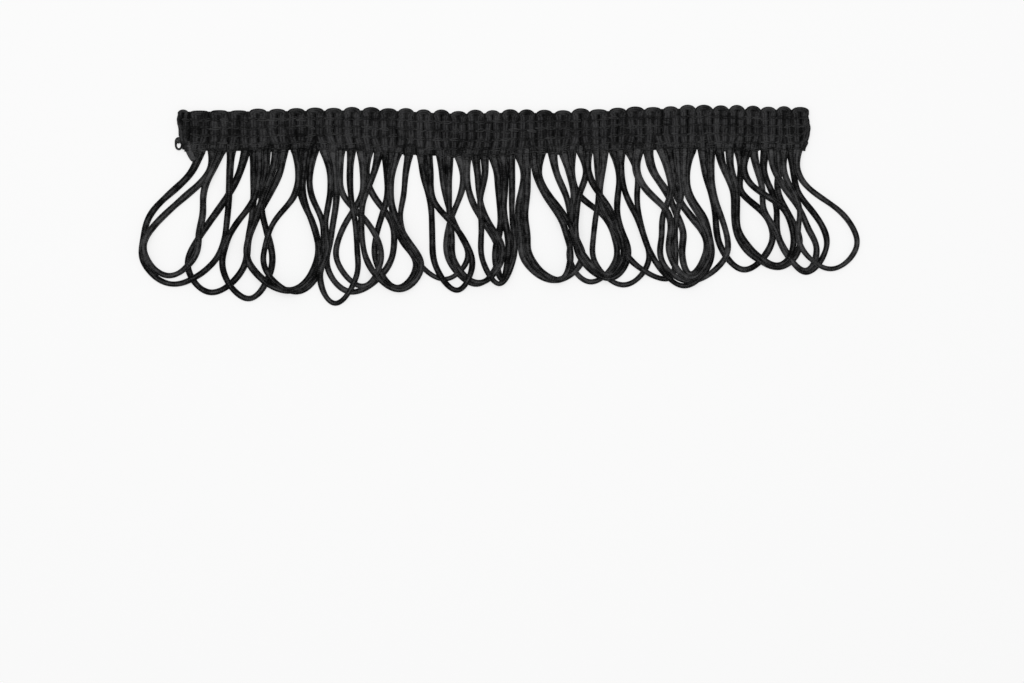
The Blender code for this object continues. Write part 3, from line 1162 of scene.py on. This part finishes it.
@dataclass(frozen=True)
class RibForm:
    """Shape of the cord that runs up and down over the band, in metres and in shares.

    Attributes:
        straight_rings: Number of rings along one rib.
        arc_rings: Number of rings round one scallop.
        sides: Number of sides of the cord's section.
        foot: Share of the band's depth at which a rib starts, a little under its lower edge.
        top: Share at which it goes over into the scallop.
        wide: Width of a rib, as a share of the distance between ribs.
        arc_wide: Width of the cord where it turns over, as such a share.
        arc_reach: Width of a scallop, as a share of the distance between its two ribs.
        arc_power: Power of the sine that gives a scallop's outline, below 1 for full shoulders.
        arc_drop: How far the cord sinks where it turns over.
        high: Height of a rib.
        level: Height of a rib's centre line.
        foot_start: Share of the depth from which a rib narrows toward its foot.
        foot_long: Share of the depth over which it narrows.
        foot_narrow: How much narrower the foot is, as a share.
        foot_drop: How far the foot sinks.
        pinch_long: Share of the depth over which one row of chains presses a rib.
        pinch_narrow: How much narrower a rib is there, as a share.
        pinch_flat: How much flatter it is there, as a share.
        pinch_drop: How far it sinks there.
        uneven: How much one turn's width differs from another's, as a share.
        tones: Least and greatest tone of a turn.
        painted_top_light: Painted light: how much lighter a rib is painted on top than at its sides.
    """

    straight_rings: int = 40
    arc_rings: int = 19
    sides: int = 16
    foot: float = 1.04
    top: float = 0.10
    wide: float = 0.88
    arc_wide: float = 0.66
    arc_reach: float = 1.28
    arc_power: float = 0.8
    arc_drop: float = 0.00022
    high: float = 0.00150
    level: float = 0.00125
    foot_start: float = 0.9
    foot_long: float = 0.14
    foot_narrow: float = 0.16
    foot_drop: float = 0.00022
    pinch_long: float = 0.045
    pinch_narrow: float = 0.08
    pinch_flat: float = 0.10
    pinch_drop: float = 0.00005
    uneven: float = 0.03
    tones: tuple[float, float] = (-0.15, 0.15)
    painted_top_light: float = 0.25


@dataclass(frozen=True)
class ChainForm:
    """Shape of one chain stitch, a drop-shaped loop of yarn that lies over a rib.

    Attributes:
        points: Number of points round a stitch.
        sides: Number of sides of the yarn's section.
        thread: Thickness of the yarn.
        long: Length of a stitch, as a share of the distance between ribs.
        long_spread: How much that differs, as a share.
        reach: How far a stitch spreads off its row, in squares.
        reach_spread: How much that differs, as a share.
        blunt: Spread at the middle of the stitch, as a share of its reach.
        taper: How much more that is toward its far end, and less toward its start.
        off: How far a stitch lies off its row, in squares.
        turn: How far it is turned, in radians.
        low: Height of the yarn between ribs.
        lift: How far it is lifted over a rib.
        lift_power: Power of the sine that lifts it, below 1 for a flat top.
        slope: How much higher a stitch ends than it starts.
        edge_room: Least distance from the band's cut ends, in squares.
        tones: Least and greatest tone of a stitch.
    """

    points: int = 20
    sides: int = 6
    thread: float = 0.00035
    long: float = 1.12
    long_spread: float = 0.06
    reach: float = 1.45
    reach_spread: float = 0.15
    blunt: float = 0.62
    taper: float = 0.38
    off: float = 0.7
    turn: float = 0.16
    low: float = 0.00105
    lift: float = 0.00086
    lift_power: float = 0.6
    slope: float = 0.0001
    edge_room: float = 0.8
    tones: tuple[float, float] = (-0.35, 0.3)


@dataclass(frozen=True)
class WeftForm:
    """Shape of the yarn that is laid in along each row on the band's back.

    Attributes:
        points_per_rib: Number of points from rib to rib, which is half a wave of its zigzag.
        sides: Number of sides of its section.
        flat: Its width, as a share of its thickness.
        sway: Height of the zigzag to either side, in squares.
        row_rise: How far it lies above its row of chains, as a share of the band's depth.
        left_room: Distance from the left cut, in squares.
        right_room: Distance from the right cut.
        tones: Least and greatest tone of a row.
    """

    points_per_rib: int = 4
    sides: int = 6
    flat: float = 1.25
    sway: float = 1.1
    row_rise: float = 0.03
    left_room: float = 0.6
    right_room: float = 2.5
    tones: tuple[float, float] = (-0.1, 0.1)


@dataclass(frozen=True)
class GroundForm:
    """Shape of the knitted ground between the ribs and the yarn on the back.

    Attributes:
        columns_per_rib: Number of rings round the sheet from rib to rib.
        rows: Number of points across its face.
        top: Height of its face between ribs.
        back: Height of its underside, over the yarn on the back.
        swell: How far its face rises under a rib.
        edge: Thickness at its long edges, as a share of the whole.
        edge_power: Power that rounds the edges off, larger for a tighter edge.
        right_room: Distance from the band's right cut, in squares.
        repeat: Size of one repeat of its UVs, in metres.
    """

    columns_per_rib: int = 6
    rows: int = 15
    top: float = 0.00095
    back: float = 0.00022
    swell: float = 0.00012
    edge: float = 0.35
    edge_power: int = 16
    right_room: float = 0.4
    repeat: float = 2 * MM


@dataclass
class Heading:
    """The knitted band: a ground, the cord that runs up and down over it, and chain stitches.

    Attributes:
        ribs: Number of ribs. The cord turns over at the top of every pair.
        cut_left: Where the band was cut off at its left end, in squares.
        cut_right: Where it was cut off at its right end.
        first_room: Distance of the first rib from the left cut.
        last_room: Distance of the last rib from the right cut.
        least_pitch: Least distance between the first ribs, which the cut crowds together.
        corners: The two lower corners, the left one counted toward the left.
        cusp_drop: Distance of the cusps between scallops below the upper line.
        rise: How far a scallop rises over its cusps.
        rise_range: Least and greatest rise, as shares of that.
        pulled_rises: Rises of the first scallops, which are pulled nearly straight.
        rows: Shares of the band's depth at which the chains run, from the cusps down.
        sway: How far a rib sways to either side, in squares.
        end_sways: The same for the first and the last rib.
        end_phases: Angles at which the sways of these two start.
        most_lean: Furthest root that a rib's foot leans to, as a share of the ribs' distance.
        last_lean: How far the foot of the last rib leans out of line, in squares.
        lean_start: Share of the depth from which a rib leans.
        lean_long: Share of the depth over which it leans.
        cord: Shape of the ribs.
        chain: Shape of the chain stitches.
        weft: Shape of the yarn on the back.
        ground: Shape of the ground.
        seed: Start of the random numbers.
    """

    ribs: int = 72
    cut_left: float = 178.8
    cut_right: float = 808.2
    first_room: float = 1.8
    last_room: float = 2.6
    least_pitch: float = 5.2
    corners: tuple[Corner, Corner] = (Corner(185.5, -5.0, 14.0, 3.0), Corner(799.6, 9.0, 10.0, 2.0))
    cusp_drop: float = 3.9
    rise: float = 3.1
    rise_range: tuple[float, float] = (0.65, 1.35)
    pulled_rises: tuple[float, ...] = (2.0, 1.0, 1.3, 1.2)
    rows: tuple[float, ...] = (0.21, 0.415, 0.63, 0.83, 0.975)
    sway: float = 0.6
    end_sways: tuple[float, float] = (1.2, 1.0)
    end_phases: tuple[float, float] = (2.5, -2.2)
    most_lean: float = 0.55
    last_lean: float = -2.6
    lean_start: float = 0.55
    lean_long: float = 0.45
    cord: RibForm = RibForm()
    chain: ChainForm = ChainForm()
    weft: WeftForm = WeftForm()
    ground: GroundForm = GroundForm()
    seed: int = 11

    def __post_init__(self) -> None:
        """Works out each rib's place, where its foot leads to, and each scallop's rise."""
        self.rng = np.random.default_rng(self.seed)
        order = np.arange(self.ribs)
        crests = rib_places(order)
        crests = np.maximum(crests, self.cut_left + self.first_room + self.least_pitch * order)
        crests[-1] = self.cut_right - self.last_room
        self.crests = crests
        self.pitches = np.gradient(crests)
        roots = np.array(sorted([value for loop in LOOPS for value in loop[:2]]))
        nearest = roots[np.abs(roots[None, :] - crests[:, None]).argmin(axis=1)]
        lean = nearest - crests
        self.feet = crests + np.where(np.abs(lean) < self.pitches * self.most_lean, lean, 0)
        self.feet[-1] = crests[-1] + self.last_lean
        self.sways = self.rng.normal(0, self.sway, self.ribs)
        self.phases = self.rng.uniform(0, 2 * np.pi, self.ribs)
        self.sways[[0, -1]] = self.end_sways
        self.phases[[0, -1]] = self.end_phases
        self.rises = self.rise * self.rng.uniform(*self.rise_range, self.ribs // 2)
        self.rises[: len(self.pulled_rises)] = self.pulled_rises

    def cusp_level(self, places: Array) -> Array:
        """Level of the cusps between scallops, at places along the sheet."""
        return edge_level(places, "upper") + self.cusp_drop

    def lower_level(self, places: Array) -> Array:
        """Level of the band's lower edge, which rises at both cut corners."""
        return edge_level(places, "lower") - sum(corner.rise(places) for corner in self.corners)

    def row_level(self, places: Array, share: Array | float) -> Array:
        """Level at a share of the way from the cusps down to the lower edge.

        Args:
            places: Places along the sheet.
            share: Share of the way down, one for all places or one for each.

        Returns:
            The levels, in squares.
        """
        cusp = self.cusp_level(places)
        return cusp + (self.lower_level(places) - cusp) * share

    def rib_place(self, rib: Array, share: Array | float) -> Array:
        """Place of a rib at a share s of the way down: it sways, and then leans to its foot.

        The sway is a sin(2 pi s + p), with a and p drawn at random for each rib.

        Args:
            rib: Numbers of the ribs.
            share: Shares of the way from the cusps to the lower edge.

        Returns:
            The places, in squares.
        """
        lean = eased((share - self.lean_start) / self.lean_long)
        sway = self.sways[rib] * np.sin(2 * np.pi * share + self.phases[rib])
        return self.crests[rib] + (self.feet[rib] - self.crests[rib]) * lean + sway

    def pinch(self, share: Array) -> Array:
        """How much the chains press the cord at a share of the way down: a bell at each row."""
        bells = [np.exp(-(((share - row) / self.cord.pinch_long) ** 2)) for row in self.rows]
        return np.sum(bells, axis=0)

    def rib_surface(self) -> Surface:
        """The cord over the ground: up one rib, round a scallop and down the next rib.

        Each turn is half a superellipse between the two ribs: x is -reach cos(a), and y is the
        rise times sin(a) to a power. Its top lies half a cord below the scallop's peak.

        Returns:
            The surface of all the turns.
        """
        form = self.cord
        turns = self.ribs // 2
        left = 2 * np.arange(turns)[:, None]
        pitch = self.pitches[left]
        share = np.linspace(form.foot, form.top, form.straight_rings)[None, :].repeat(turns, axis=0)
        leg_places = [self.rib_place(left + side, share) for side in (0, 1)]
        leg_levels = [self.row_level(places, share) for places in leg_places]
        angle = np.linspace(0, np.pi, form.arc_rings + 2)[None, 1:-1]
        middle = (leg_places[0][:, -1:] + leg_places[1][:, -1:]) / 2
        half = (leg_places[1][:, -1:] - leg_places[0][:, -1:]) / 2
        peak = self.cusp_level(middle) - self.rises[:, None] + form.arc_wide * pitch / 2
        base = (leg_levels[0][:, -1:] + leg_levels[1][:, -1:]) / 2
        arc_places = middle - form.arc_reach * half * np.cos(angle)
        arc_levels = base + (peak - base) * np.sin(angle) ** form.arc_power
        places = np.concatenate([leg_places[0], arc_places, leg_places[1][:, ::-1]], axis=1)
        levels = np.concatenate([leg_levels[0], arc_levels, leg_levels[1][:, ::-1]], axis=1)
        shares = np.concatenate([share, np.zeros((turns, form.arc_rings)), share[:, ::-1]], axis=1)
        flat = np.zeros(form.straight_rings)
        in_arc = np.concatenate([flat, np.sin(angle[0]), flat])[None, :]
        pressed = self.pinch(shares) * (1 - in_arc)
        foot = eased((shares - form.foot_start) / form.foot_long)
        wide = form.wide * (1 - form.pinch_narrow * pressed - form.foot_narrow * foot)
        wide = wide + (form.arc_wide - form.wide) * in_arc
        wide = wide * pitch * SHEET.square * self.rng.normal(1, form.uneven, (turns, 1))
        high = form.high * (1 - form.pinch_flat * pressed)
        height = form.level - form.arc_drop * in_arc - form.foot_drop * foot
        height = height - form.pinch_drop * pressed
        paths = np.stack([SHEET.x(places), SHEET.y(levels), height], axis=-1)
        tone = self.rng.uniform(*form.tones, turns)
        # Painted light: each rib is painted lighter on top than at its sides.
        return tubes(paths, wide, high, form.sides, tone, painted_top_light=form.painted_top_light)

    def chain_row(self, row: float) -> Surface:
        """One row of chains: a drop-shaped loop of yarn over every rib.

        A stitch's path is x = -L/2 cos(p), y = w sin(p) (b - t cos(p)), for p once round, turned
        a little and lifted over the rib. Its narrow start lies under the one before.

        Args:
            row: Share of the band's depth at which the row runs.

        Returns:
            The surface of the row's stitches.
        """
        form = self.chain
        each = (self.ribs, 1)
        p = np.linspace(0, 2 * np.pi, form.points, endpoint=False)[None, :]
        onward = (1 - np.cos(p)) / 2
        over_rib = np.sin(np.pi * onward) ** form.lift_power
        z = form.low + form.lift * over_rib + form.slope * onward
        middle = self.rib_place(np.arange(self.ribs), row)[:, None]
        off = self.rng.normal(0, form.off, each)
        long = form.long * self.pitches[:, None] * self.rng.normal(1, form.long_spread, each)
        reach = form.reach * self.rng.normal(1, form.reach_spread, each)
        turn = self.rng.normal(0, form.turn, each)
        x = -long / 2 * np.cos(p)
        y = reach * np.sin(p) * (form.blunt - form.taper * np.cos(p))
        places = middle + x * np.cos(turn) - y * np.sin(turn)
        places = np.clip(places, self.cut_left + form.edge_room, self.cut_right - form.edge_room)
        levels = self.row_level(places, row) + off + x * np.sin(turn) + y * np.cos(turn)
        heights = np.broadcast_to(z, places.shape)
        paths = np.stack([SHEET.x(places), SHEET.y(levels), heights], axis=-1)
        wide = np.full(places.shape, form.thread)
        tone = self.rng.uniform(*form.tones, self.ribs)
        return tubes(paths, wide, wide, form.sides, tone, closed=True)

    def back_surface(self) -> Surface:
        """The laid-in yarn on the back: a zigzag along each row, flat against the ground.

        Its i-th point sways off the row by a sin(pi i / n), for n points from rib to rib.

        Returns:
            The surface of all the rows.
        """
        form = self.weft
        count = self.ribs * form.points_per_rib
        sway = form.sway * np.sin(np.pi * np.arange(count) / form.points_per_rib)
        places = np.linspace(self.cut_left + form.left_room, self.cut_right - form.right_room, count)
        wide = np.full((1, count), self.chain.thread * form.flat)
        high = np.full((1, count), self.chain.thread)
        surfaces = []
        for row in self.rows:
            levels = self.row_level(places, row - form.row_rise) + sway
            path = np.stack([SHEET.x(places), SHEET.y(levels), high[0] / 2], axis=-1)
            tone = self.rng.uniform(*form.tones, 1)
            surfaces.append(tubes(path[None], wide, high, form.sides, tone))
        return Surface.joined(surfaces)

    def ground_rings(self) -> Array:
        """Rings round the ground: over its face from the lower edge to the upper one, then back.

        Its thickness is T (e + (1 - e) r), where r = sqrt(1 - (2 s - 1)^n) rounds off the edges
        at a share s of the way across. The face swells by w r (1 + cos(2 pi k)) / 2, for a place
        k counted in ribs.

        Returns:
            The points, as rings by points by 3.
        """
        form = self.ground
        columns = self.ribs * form.columns_per_rib
        places = np.linspace(self.cut_left, self.cut_right - form.right_room, columns)
        across = np.linspace(0, 1, form.rows)
        ribs = np.interp(places, self.crests, np.arange(self.ribs))
        under_rib = 0.5 + 0.5 * np.cos(2 * np.pi * ribs)
        level = self.row_level(places, (1 - across)[:, None])
        bulge = np.clip(1 - (2 * across - 1) ** form.edge_power, 0.0, 1)
        round_off = np.sqrt(bulge)[:, None]
        top = form.back + (form.top - form.back) * (form.edge + (1 - form.edge) * round_off)
        top = top + form.swell * under_rib * round_off
        x = np.broadcast_to(SHEET.x(places), level.shape)
        face = np.stack([x, SHEET.y(level), top], axis=-1)
        back = np.stack([x, SHEET.y(level), np.full_like(top, form.back)], axis=-1)
        return np.concatenate([face, back[::-1]]).transpose(1, 0, 2)

    def ground_surface(self) -> Surface:
        """The knitted ground: a closed sheet whose face rises a little under each rib.

        Its rings are joined side by side, and a ladder of faces closes it at either cut end.

        Returns:
            The surface.
        """
        rings = self.ground_rings()
        columns, sides, _ = rings.shape
        index = np.arange(columns * sides).reshape(columns, sides)
        first, second = index[:-1], index[1:]
        around = [first, second, np.roll(second, -1, axis=1), np.roll(first, -1, axis=1)]
        quads = np.stack(around, axis=-1).reshape(-1, 4)
        ladder = np.arange(self.ground.rows - 1)
        rungs = np.stack([ladder, ladder + 1, sides - 2 - ladder, sides - 1 - ladder], axis=-1)
        quads = np.concatenate([quads, index[0][rungs], index[-1][rungs[:, ::-1]]])
        points = rings.reshape(-1, 3)
        uv = points[quads][..., :2] / self.ground.repeat
        none = np.zeros((0, 3), int)
        return Surface(points, quads, uv, none, np.zeros((0, 3, 2)), np.zeros(len(points)))

    def build(self, finishes: dict[str, bpy.types.Material]) -> list[bpy.types.Object]:
        """Builds the band's pieces.

        Args:
            finishes: Materials by name.

        Returns:
            The ground, then the ribs, the chains and the yarn on the back.
        """
        ribs = self.rib_surface()
        chains = Surface.joined([self.chain_row(row) for row in self.rows])
        parts = (
            ("heading_ground", self.ground_surface(), "ground_yarn"),
            ("heading_ribs", ribs, "rib_cord"),
            ("chain_stitches", chains, "stitch_yarn"),
            ("back_stitches", self.back_surface(), "stitch_yarn"),
        )
        made = []
        for name, surface, finish in parts:
            LOG.info("%s: %d triangles", name, surface.triangles())
            made.append(surface.object(name, finishes[finish]))
        return made


class TailKnot(NamedTuple):
    """One point of the cut end's centre line: place and level in squares, height in millimetres."""

    along: float
    down: float
    height: float


# The cord's cut end, from under the band to its tip
TAIL = (
    TailKnot(187.8, 141.0, 1.10),
    TailKnot(190.4, 148.5, 1.05),
    TailKnot(192.9, 155.0, 0.85),
    TailKnot(196.0, 160.3, 0.78),
)


@dataclass(frozen=True)
class CutEnd:
    """The cord's cut end, which comes out under the band and narrows to a blunt tip.

    Attributes:
        rings: Number of rings along it.
        sides: Number of sides of its section.
        wide: Width where it leaves the band, in millimetres.
        narrows: How much narrower it is at its tip, in millimetres.
        high: Height, in millimetres.
        tip_start: Share of its length from which the tip is rounded.
        tip_long: Share of its length over which it would close.
        tip_least: Least square of the tip's width as a share, where it is cut blunt.
        painted_top_light: Painted light: how much lighter it is painted on top than at its sides.
    """

    rings: int = 40
    sides: int = 18
    wide: float = 3.6
    narrows: float = 1.2
    high: float = 1.5
    tip_start: float = 0.8
    tip_long: float = 0.21
    tip_least: float = 0.02
    painted_top_light: float = 0.25

    def surface(self) -> Surface:
        """Follows a natural spline through the knots, with an oval section.

        Its width is (w - n s) t and its height h t, at a share s of its length. The tip's t is
        sqrt(1 - ((s - s0) / l)^2) past s0, and 1 before it.

        Returns:
            The surface.
        """
        last = len(TAIL) - 1
        fine = natural_spline(np.arange(last + 1), TAIL, np.linspace(0, last, self.rings))
        path = np.column_stack([SHEET.x(fine[:, 0]), SHEET.y(fine[:, 1]), fine[:, 2] * MM])
        share = np.linspace(0, 1, self.rings)
        past = ((share - self.tip_start) / self.tip_long).clip(0)
        tip = np.sqrt(np.clip(1 - past**2, self.tip_least, 1))
        wide = (self.wide - self.narrows * share) * MM * tip
        high = self.high * MM * tip
        # Painted light: the cut end is painted lighter on top than at its sides.
        return tubes(path[None], wide[None], high[None], self.sides, np.zeros(1), painted_top_light=self.painted_top_light)


@dataclass(frozen=True)
class ThreadRing:
    """The ring of loose chain yarn, thick where it leaves the band and thin at its lower side.

    Attributes:
        points: Number of points round it.
        sides: Number of sides of the yarn's section.
        middle: Place and level of its middle, in squares.
        wide: Its width along the band, in squares.
        deep: Its depth down the sheet, in squares.
        thread: Thickness of its yarn.
        knot: How much thicker the yarn is at the upper side, as a share.
        most_high: Greatest height of the yarn.
        level: Mean height of its centre line.
        tilt: How much the ring tilts to either side of that height.
        tone: Its tone.
    """

    points: int = 40
    sides: int = 10
    middle: tuple[float, float] = (179.1, 144.1)
    wide: float = 6.2
    deep: float = 8.8
    thread: float = 0.00070
    knot: float = 2.2
    most_high: float = 0.0014
    level: float = 0.0009
    tilt: float = 0.0003
    tone: float = 0.05

    def surface(self) -> Surface:
        """Follows an ellipse, with a yarn of width d (1 + k max(sin(a), 0)^2) at the angle a.

        Its height is z0 - t cos(a), so that it slopes up from the left.

        Returns:
            The surface.
        """
        angle = np.linspace(0, 2 * np.pi, self.points, endpoint=False)
        x = SHEET.x(self.middle[0] - self.wide / 2 * np.cos(angle))
        y = SHEET.y(self.middle[1] - self.deep / 2 * np.sin(angle))
        z = self.level - self.tilt * np.cos(angle)
        path = np.stack([x, y, z], axis=-1)
        thick = self.thread * (1 + self.knot * np.clip(np.sin(angle), 0, 1) ** 2)[None, :]
        high = np.minimum(thick, self.most_high)
        return tubes(path[None], thick, high, self.sides, np.array([self.tone]), closed=True)


@dataclass(frozen=True)
class LooseEnds:
    """What hangs out at the heading's left end.

    Attributes:
        cut_end: The cord's cut end.
        ring: The ring of chain yarn.
    """

    cut_end: CutEnd = CutEnd()
    ring: ThreadRing = ThreadRing()

    def build(self, finishes: dict[str, bpy.types.Material]) -> list[bpy.types.Object]:
        """Builds the cut end and the ring.

        Args:
            finishes: Materials by name.

        Returns:
            Both pieces.
        """
        tail = self.cut_end.surface().object("cord_tail", finishes["loop_cord"])
        ring = self.ring.surface().object("thread_ring", finishes["stitch_yarn"])
        LOG.info("loose ends: %s, %s", tail.name, ring.name)
        return [tail, ring]


@dataclass(frozen=True)
class Studio:
    """Pale floor, even soft light and a camera straight above, which frames the sheet.

    Attributes:
        frame_squares: Width and height of the view, in squares.
        shift: How far above the middle of these the camera looks, in squares.
        lens: Focal length, in millimetres.
        sensor: Width of the camera's sensor, in millimetres.
        clip_start: Nearest distance that the camera sees.
        floor_half: Half the floor's width.
        floor_grey: Lightness of the floor.
        floor_rough: Roughness of the floor.
        floor_glow: Strength of the floor's own light.
        room_light: Strength of the light from all sides.
        lamp_size: Width and depth of the soft lamp.
        lamp_power: Power of the lamp, in watts.
        lamp_place: Where the lamp hangs, a little to the scallops' side.
    """

    frame_squares: tuple[float, float] = (1024.0, 683.0)
    shift: float = 0.9
    lens: float = 120.0
    sensor: float = 36.0
    clip_start: float = 0.01
    floor_half: float = 3.0
    floor_grey: float = 0.3
    floor_rough: float = 0.9
    floor_glow: float = 0.65
    room_light: float = 0.55
    lamp_size: tuple[float, float] = (0.9, 0.6)
    lamp_power: float = 6.0
    lamp_place: tuple[float, float, float] = (-0.05, 0.12, 1.0)

    def floor(self) -> bpy.types.Object:
        """A wide pale floor, which glows a little as a light table does.

        Returns:
            The floor.
        """
        half = self.floor_half
        mesh = bpy.data.meshes.new("floor")
        corners = [(-half, -half, 0), (half, -half, 0), (half, half, 0), (-half, half, 0)]
        mesh.from_pydata(corners, [], [(0, 1, 2, 3)])
        material = bpy.data.materials.new("pale_floor")
        material.use_nodes = True
        surface = material.node_tree.nodes["Principled BSDF"]
        surface.inputs["Base Color"].default_value = (*[self.floor_grey] * 3, 1)
        surface.inputs["Roughness"].default_value = self.floor_rough
        surface.inputs["Specular IOR Level"].default_value = 0.0
        surface.inputs["Emission Color"].default_value = (1, 1, 1, 1)
        surface.inputs["Emission Strength"].default_value = self.floor_glow
        mesh.materials.append(material)
        made = bpy.data.objects.new("floor", mesh)
        bpy.context.scene.collection.objects.link(made)
        return made

    def camera(self) -> bpy.types.Object:
        """The camera, straight above, where the sheet's width fills its view.

        Its height is that width times the focal length, over the sensor's width.

        Returns:
            The camera.
        """
        made = bpy.data.objects.new("camera", bpy.data.cameras.new("camera"))
        made.data.lens = self.lens
        made.data.sensor_width = self.sensor
        made.data.clip_start = self.clip_start
        wide, deep = self.frame_squares
        height = wide * SHEET.square * self.lens / self.sensor
        x = float(SHEET.x(wide / 2))
        y = float(SHEET.y(deep / 2 - self.shift))
        made.location = (x, y, height)
        bpy.context.scene.collection.objects.link(made)
        bpy.context.scene.camera = made
        return made

    def lights(self) -> None:
        """An even bright room, and one large soft light above the heading."""
        world = bpy.data.worlds.new("room")
        world.use_nodes = True
        room = world.node_tree.nodes["Background"]
        room.inputs["Color"].default_value = (1, 1, 1, 1)
        room.inputs["Strength"].default_value = self.room_light
        bpy.context.scene.world = world
        lamp = bpy.data.lights.new("softbox", "AREA")
        lamp.shape = "RECTANGLE"
        lamp.size, lamp.size_y = self.lamp_size
        lamp.energy = self.lamp_power
        made = bpy.data.objects.new("softbox", lamp)
        made.location = self.lamp_place
        bpy.context.scene.collection.objects.link(made)


def seat(piece: bpy.types.Object) -> None:
    """Makes a piece ride with the trim's one body."""
    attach(piece, "root")


def main() -> None:
    """Builds the whole trim and its studio, in order."""
    logging.basicConfig(level=logging.INFO, format="%(name)s: %(message)s")
    bpy.context.scene.view_settings.view_transform = "Standard"
    studio = Studio()
    studio.camera()
    studio.floor()
    studio.lights()
    trees = (knitted_cord_group(), plied_yarn_group(), mottle_group())
    groups = {tree.name: tree for tree in trees}
    yarns = (LOOP_CORD, RIB_CORD, STITCH_YARN, GROUND_YARN)
    finishes = {yarn.name: yarn.material(groups) for yarn in yarns}
    loops = FringeLoops().build(finishes["loop_cord"])
    heading = Heading()
    ground, *knitting = heading.build(finishes)
    tail, ring = LooseEnds().build(finishes)
    for piece in (ground, *knitting, ring):
        seat(piece)
    for piece in (*loops, tail):
        seat(piece)
    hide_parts("heading")
    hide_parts("loop_fringe")


if __name__ == "__main__":
    main()
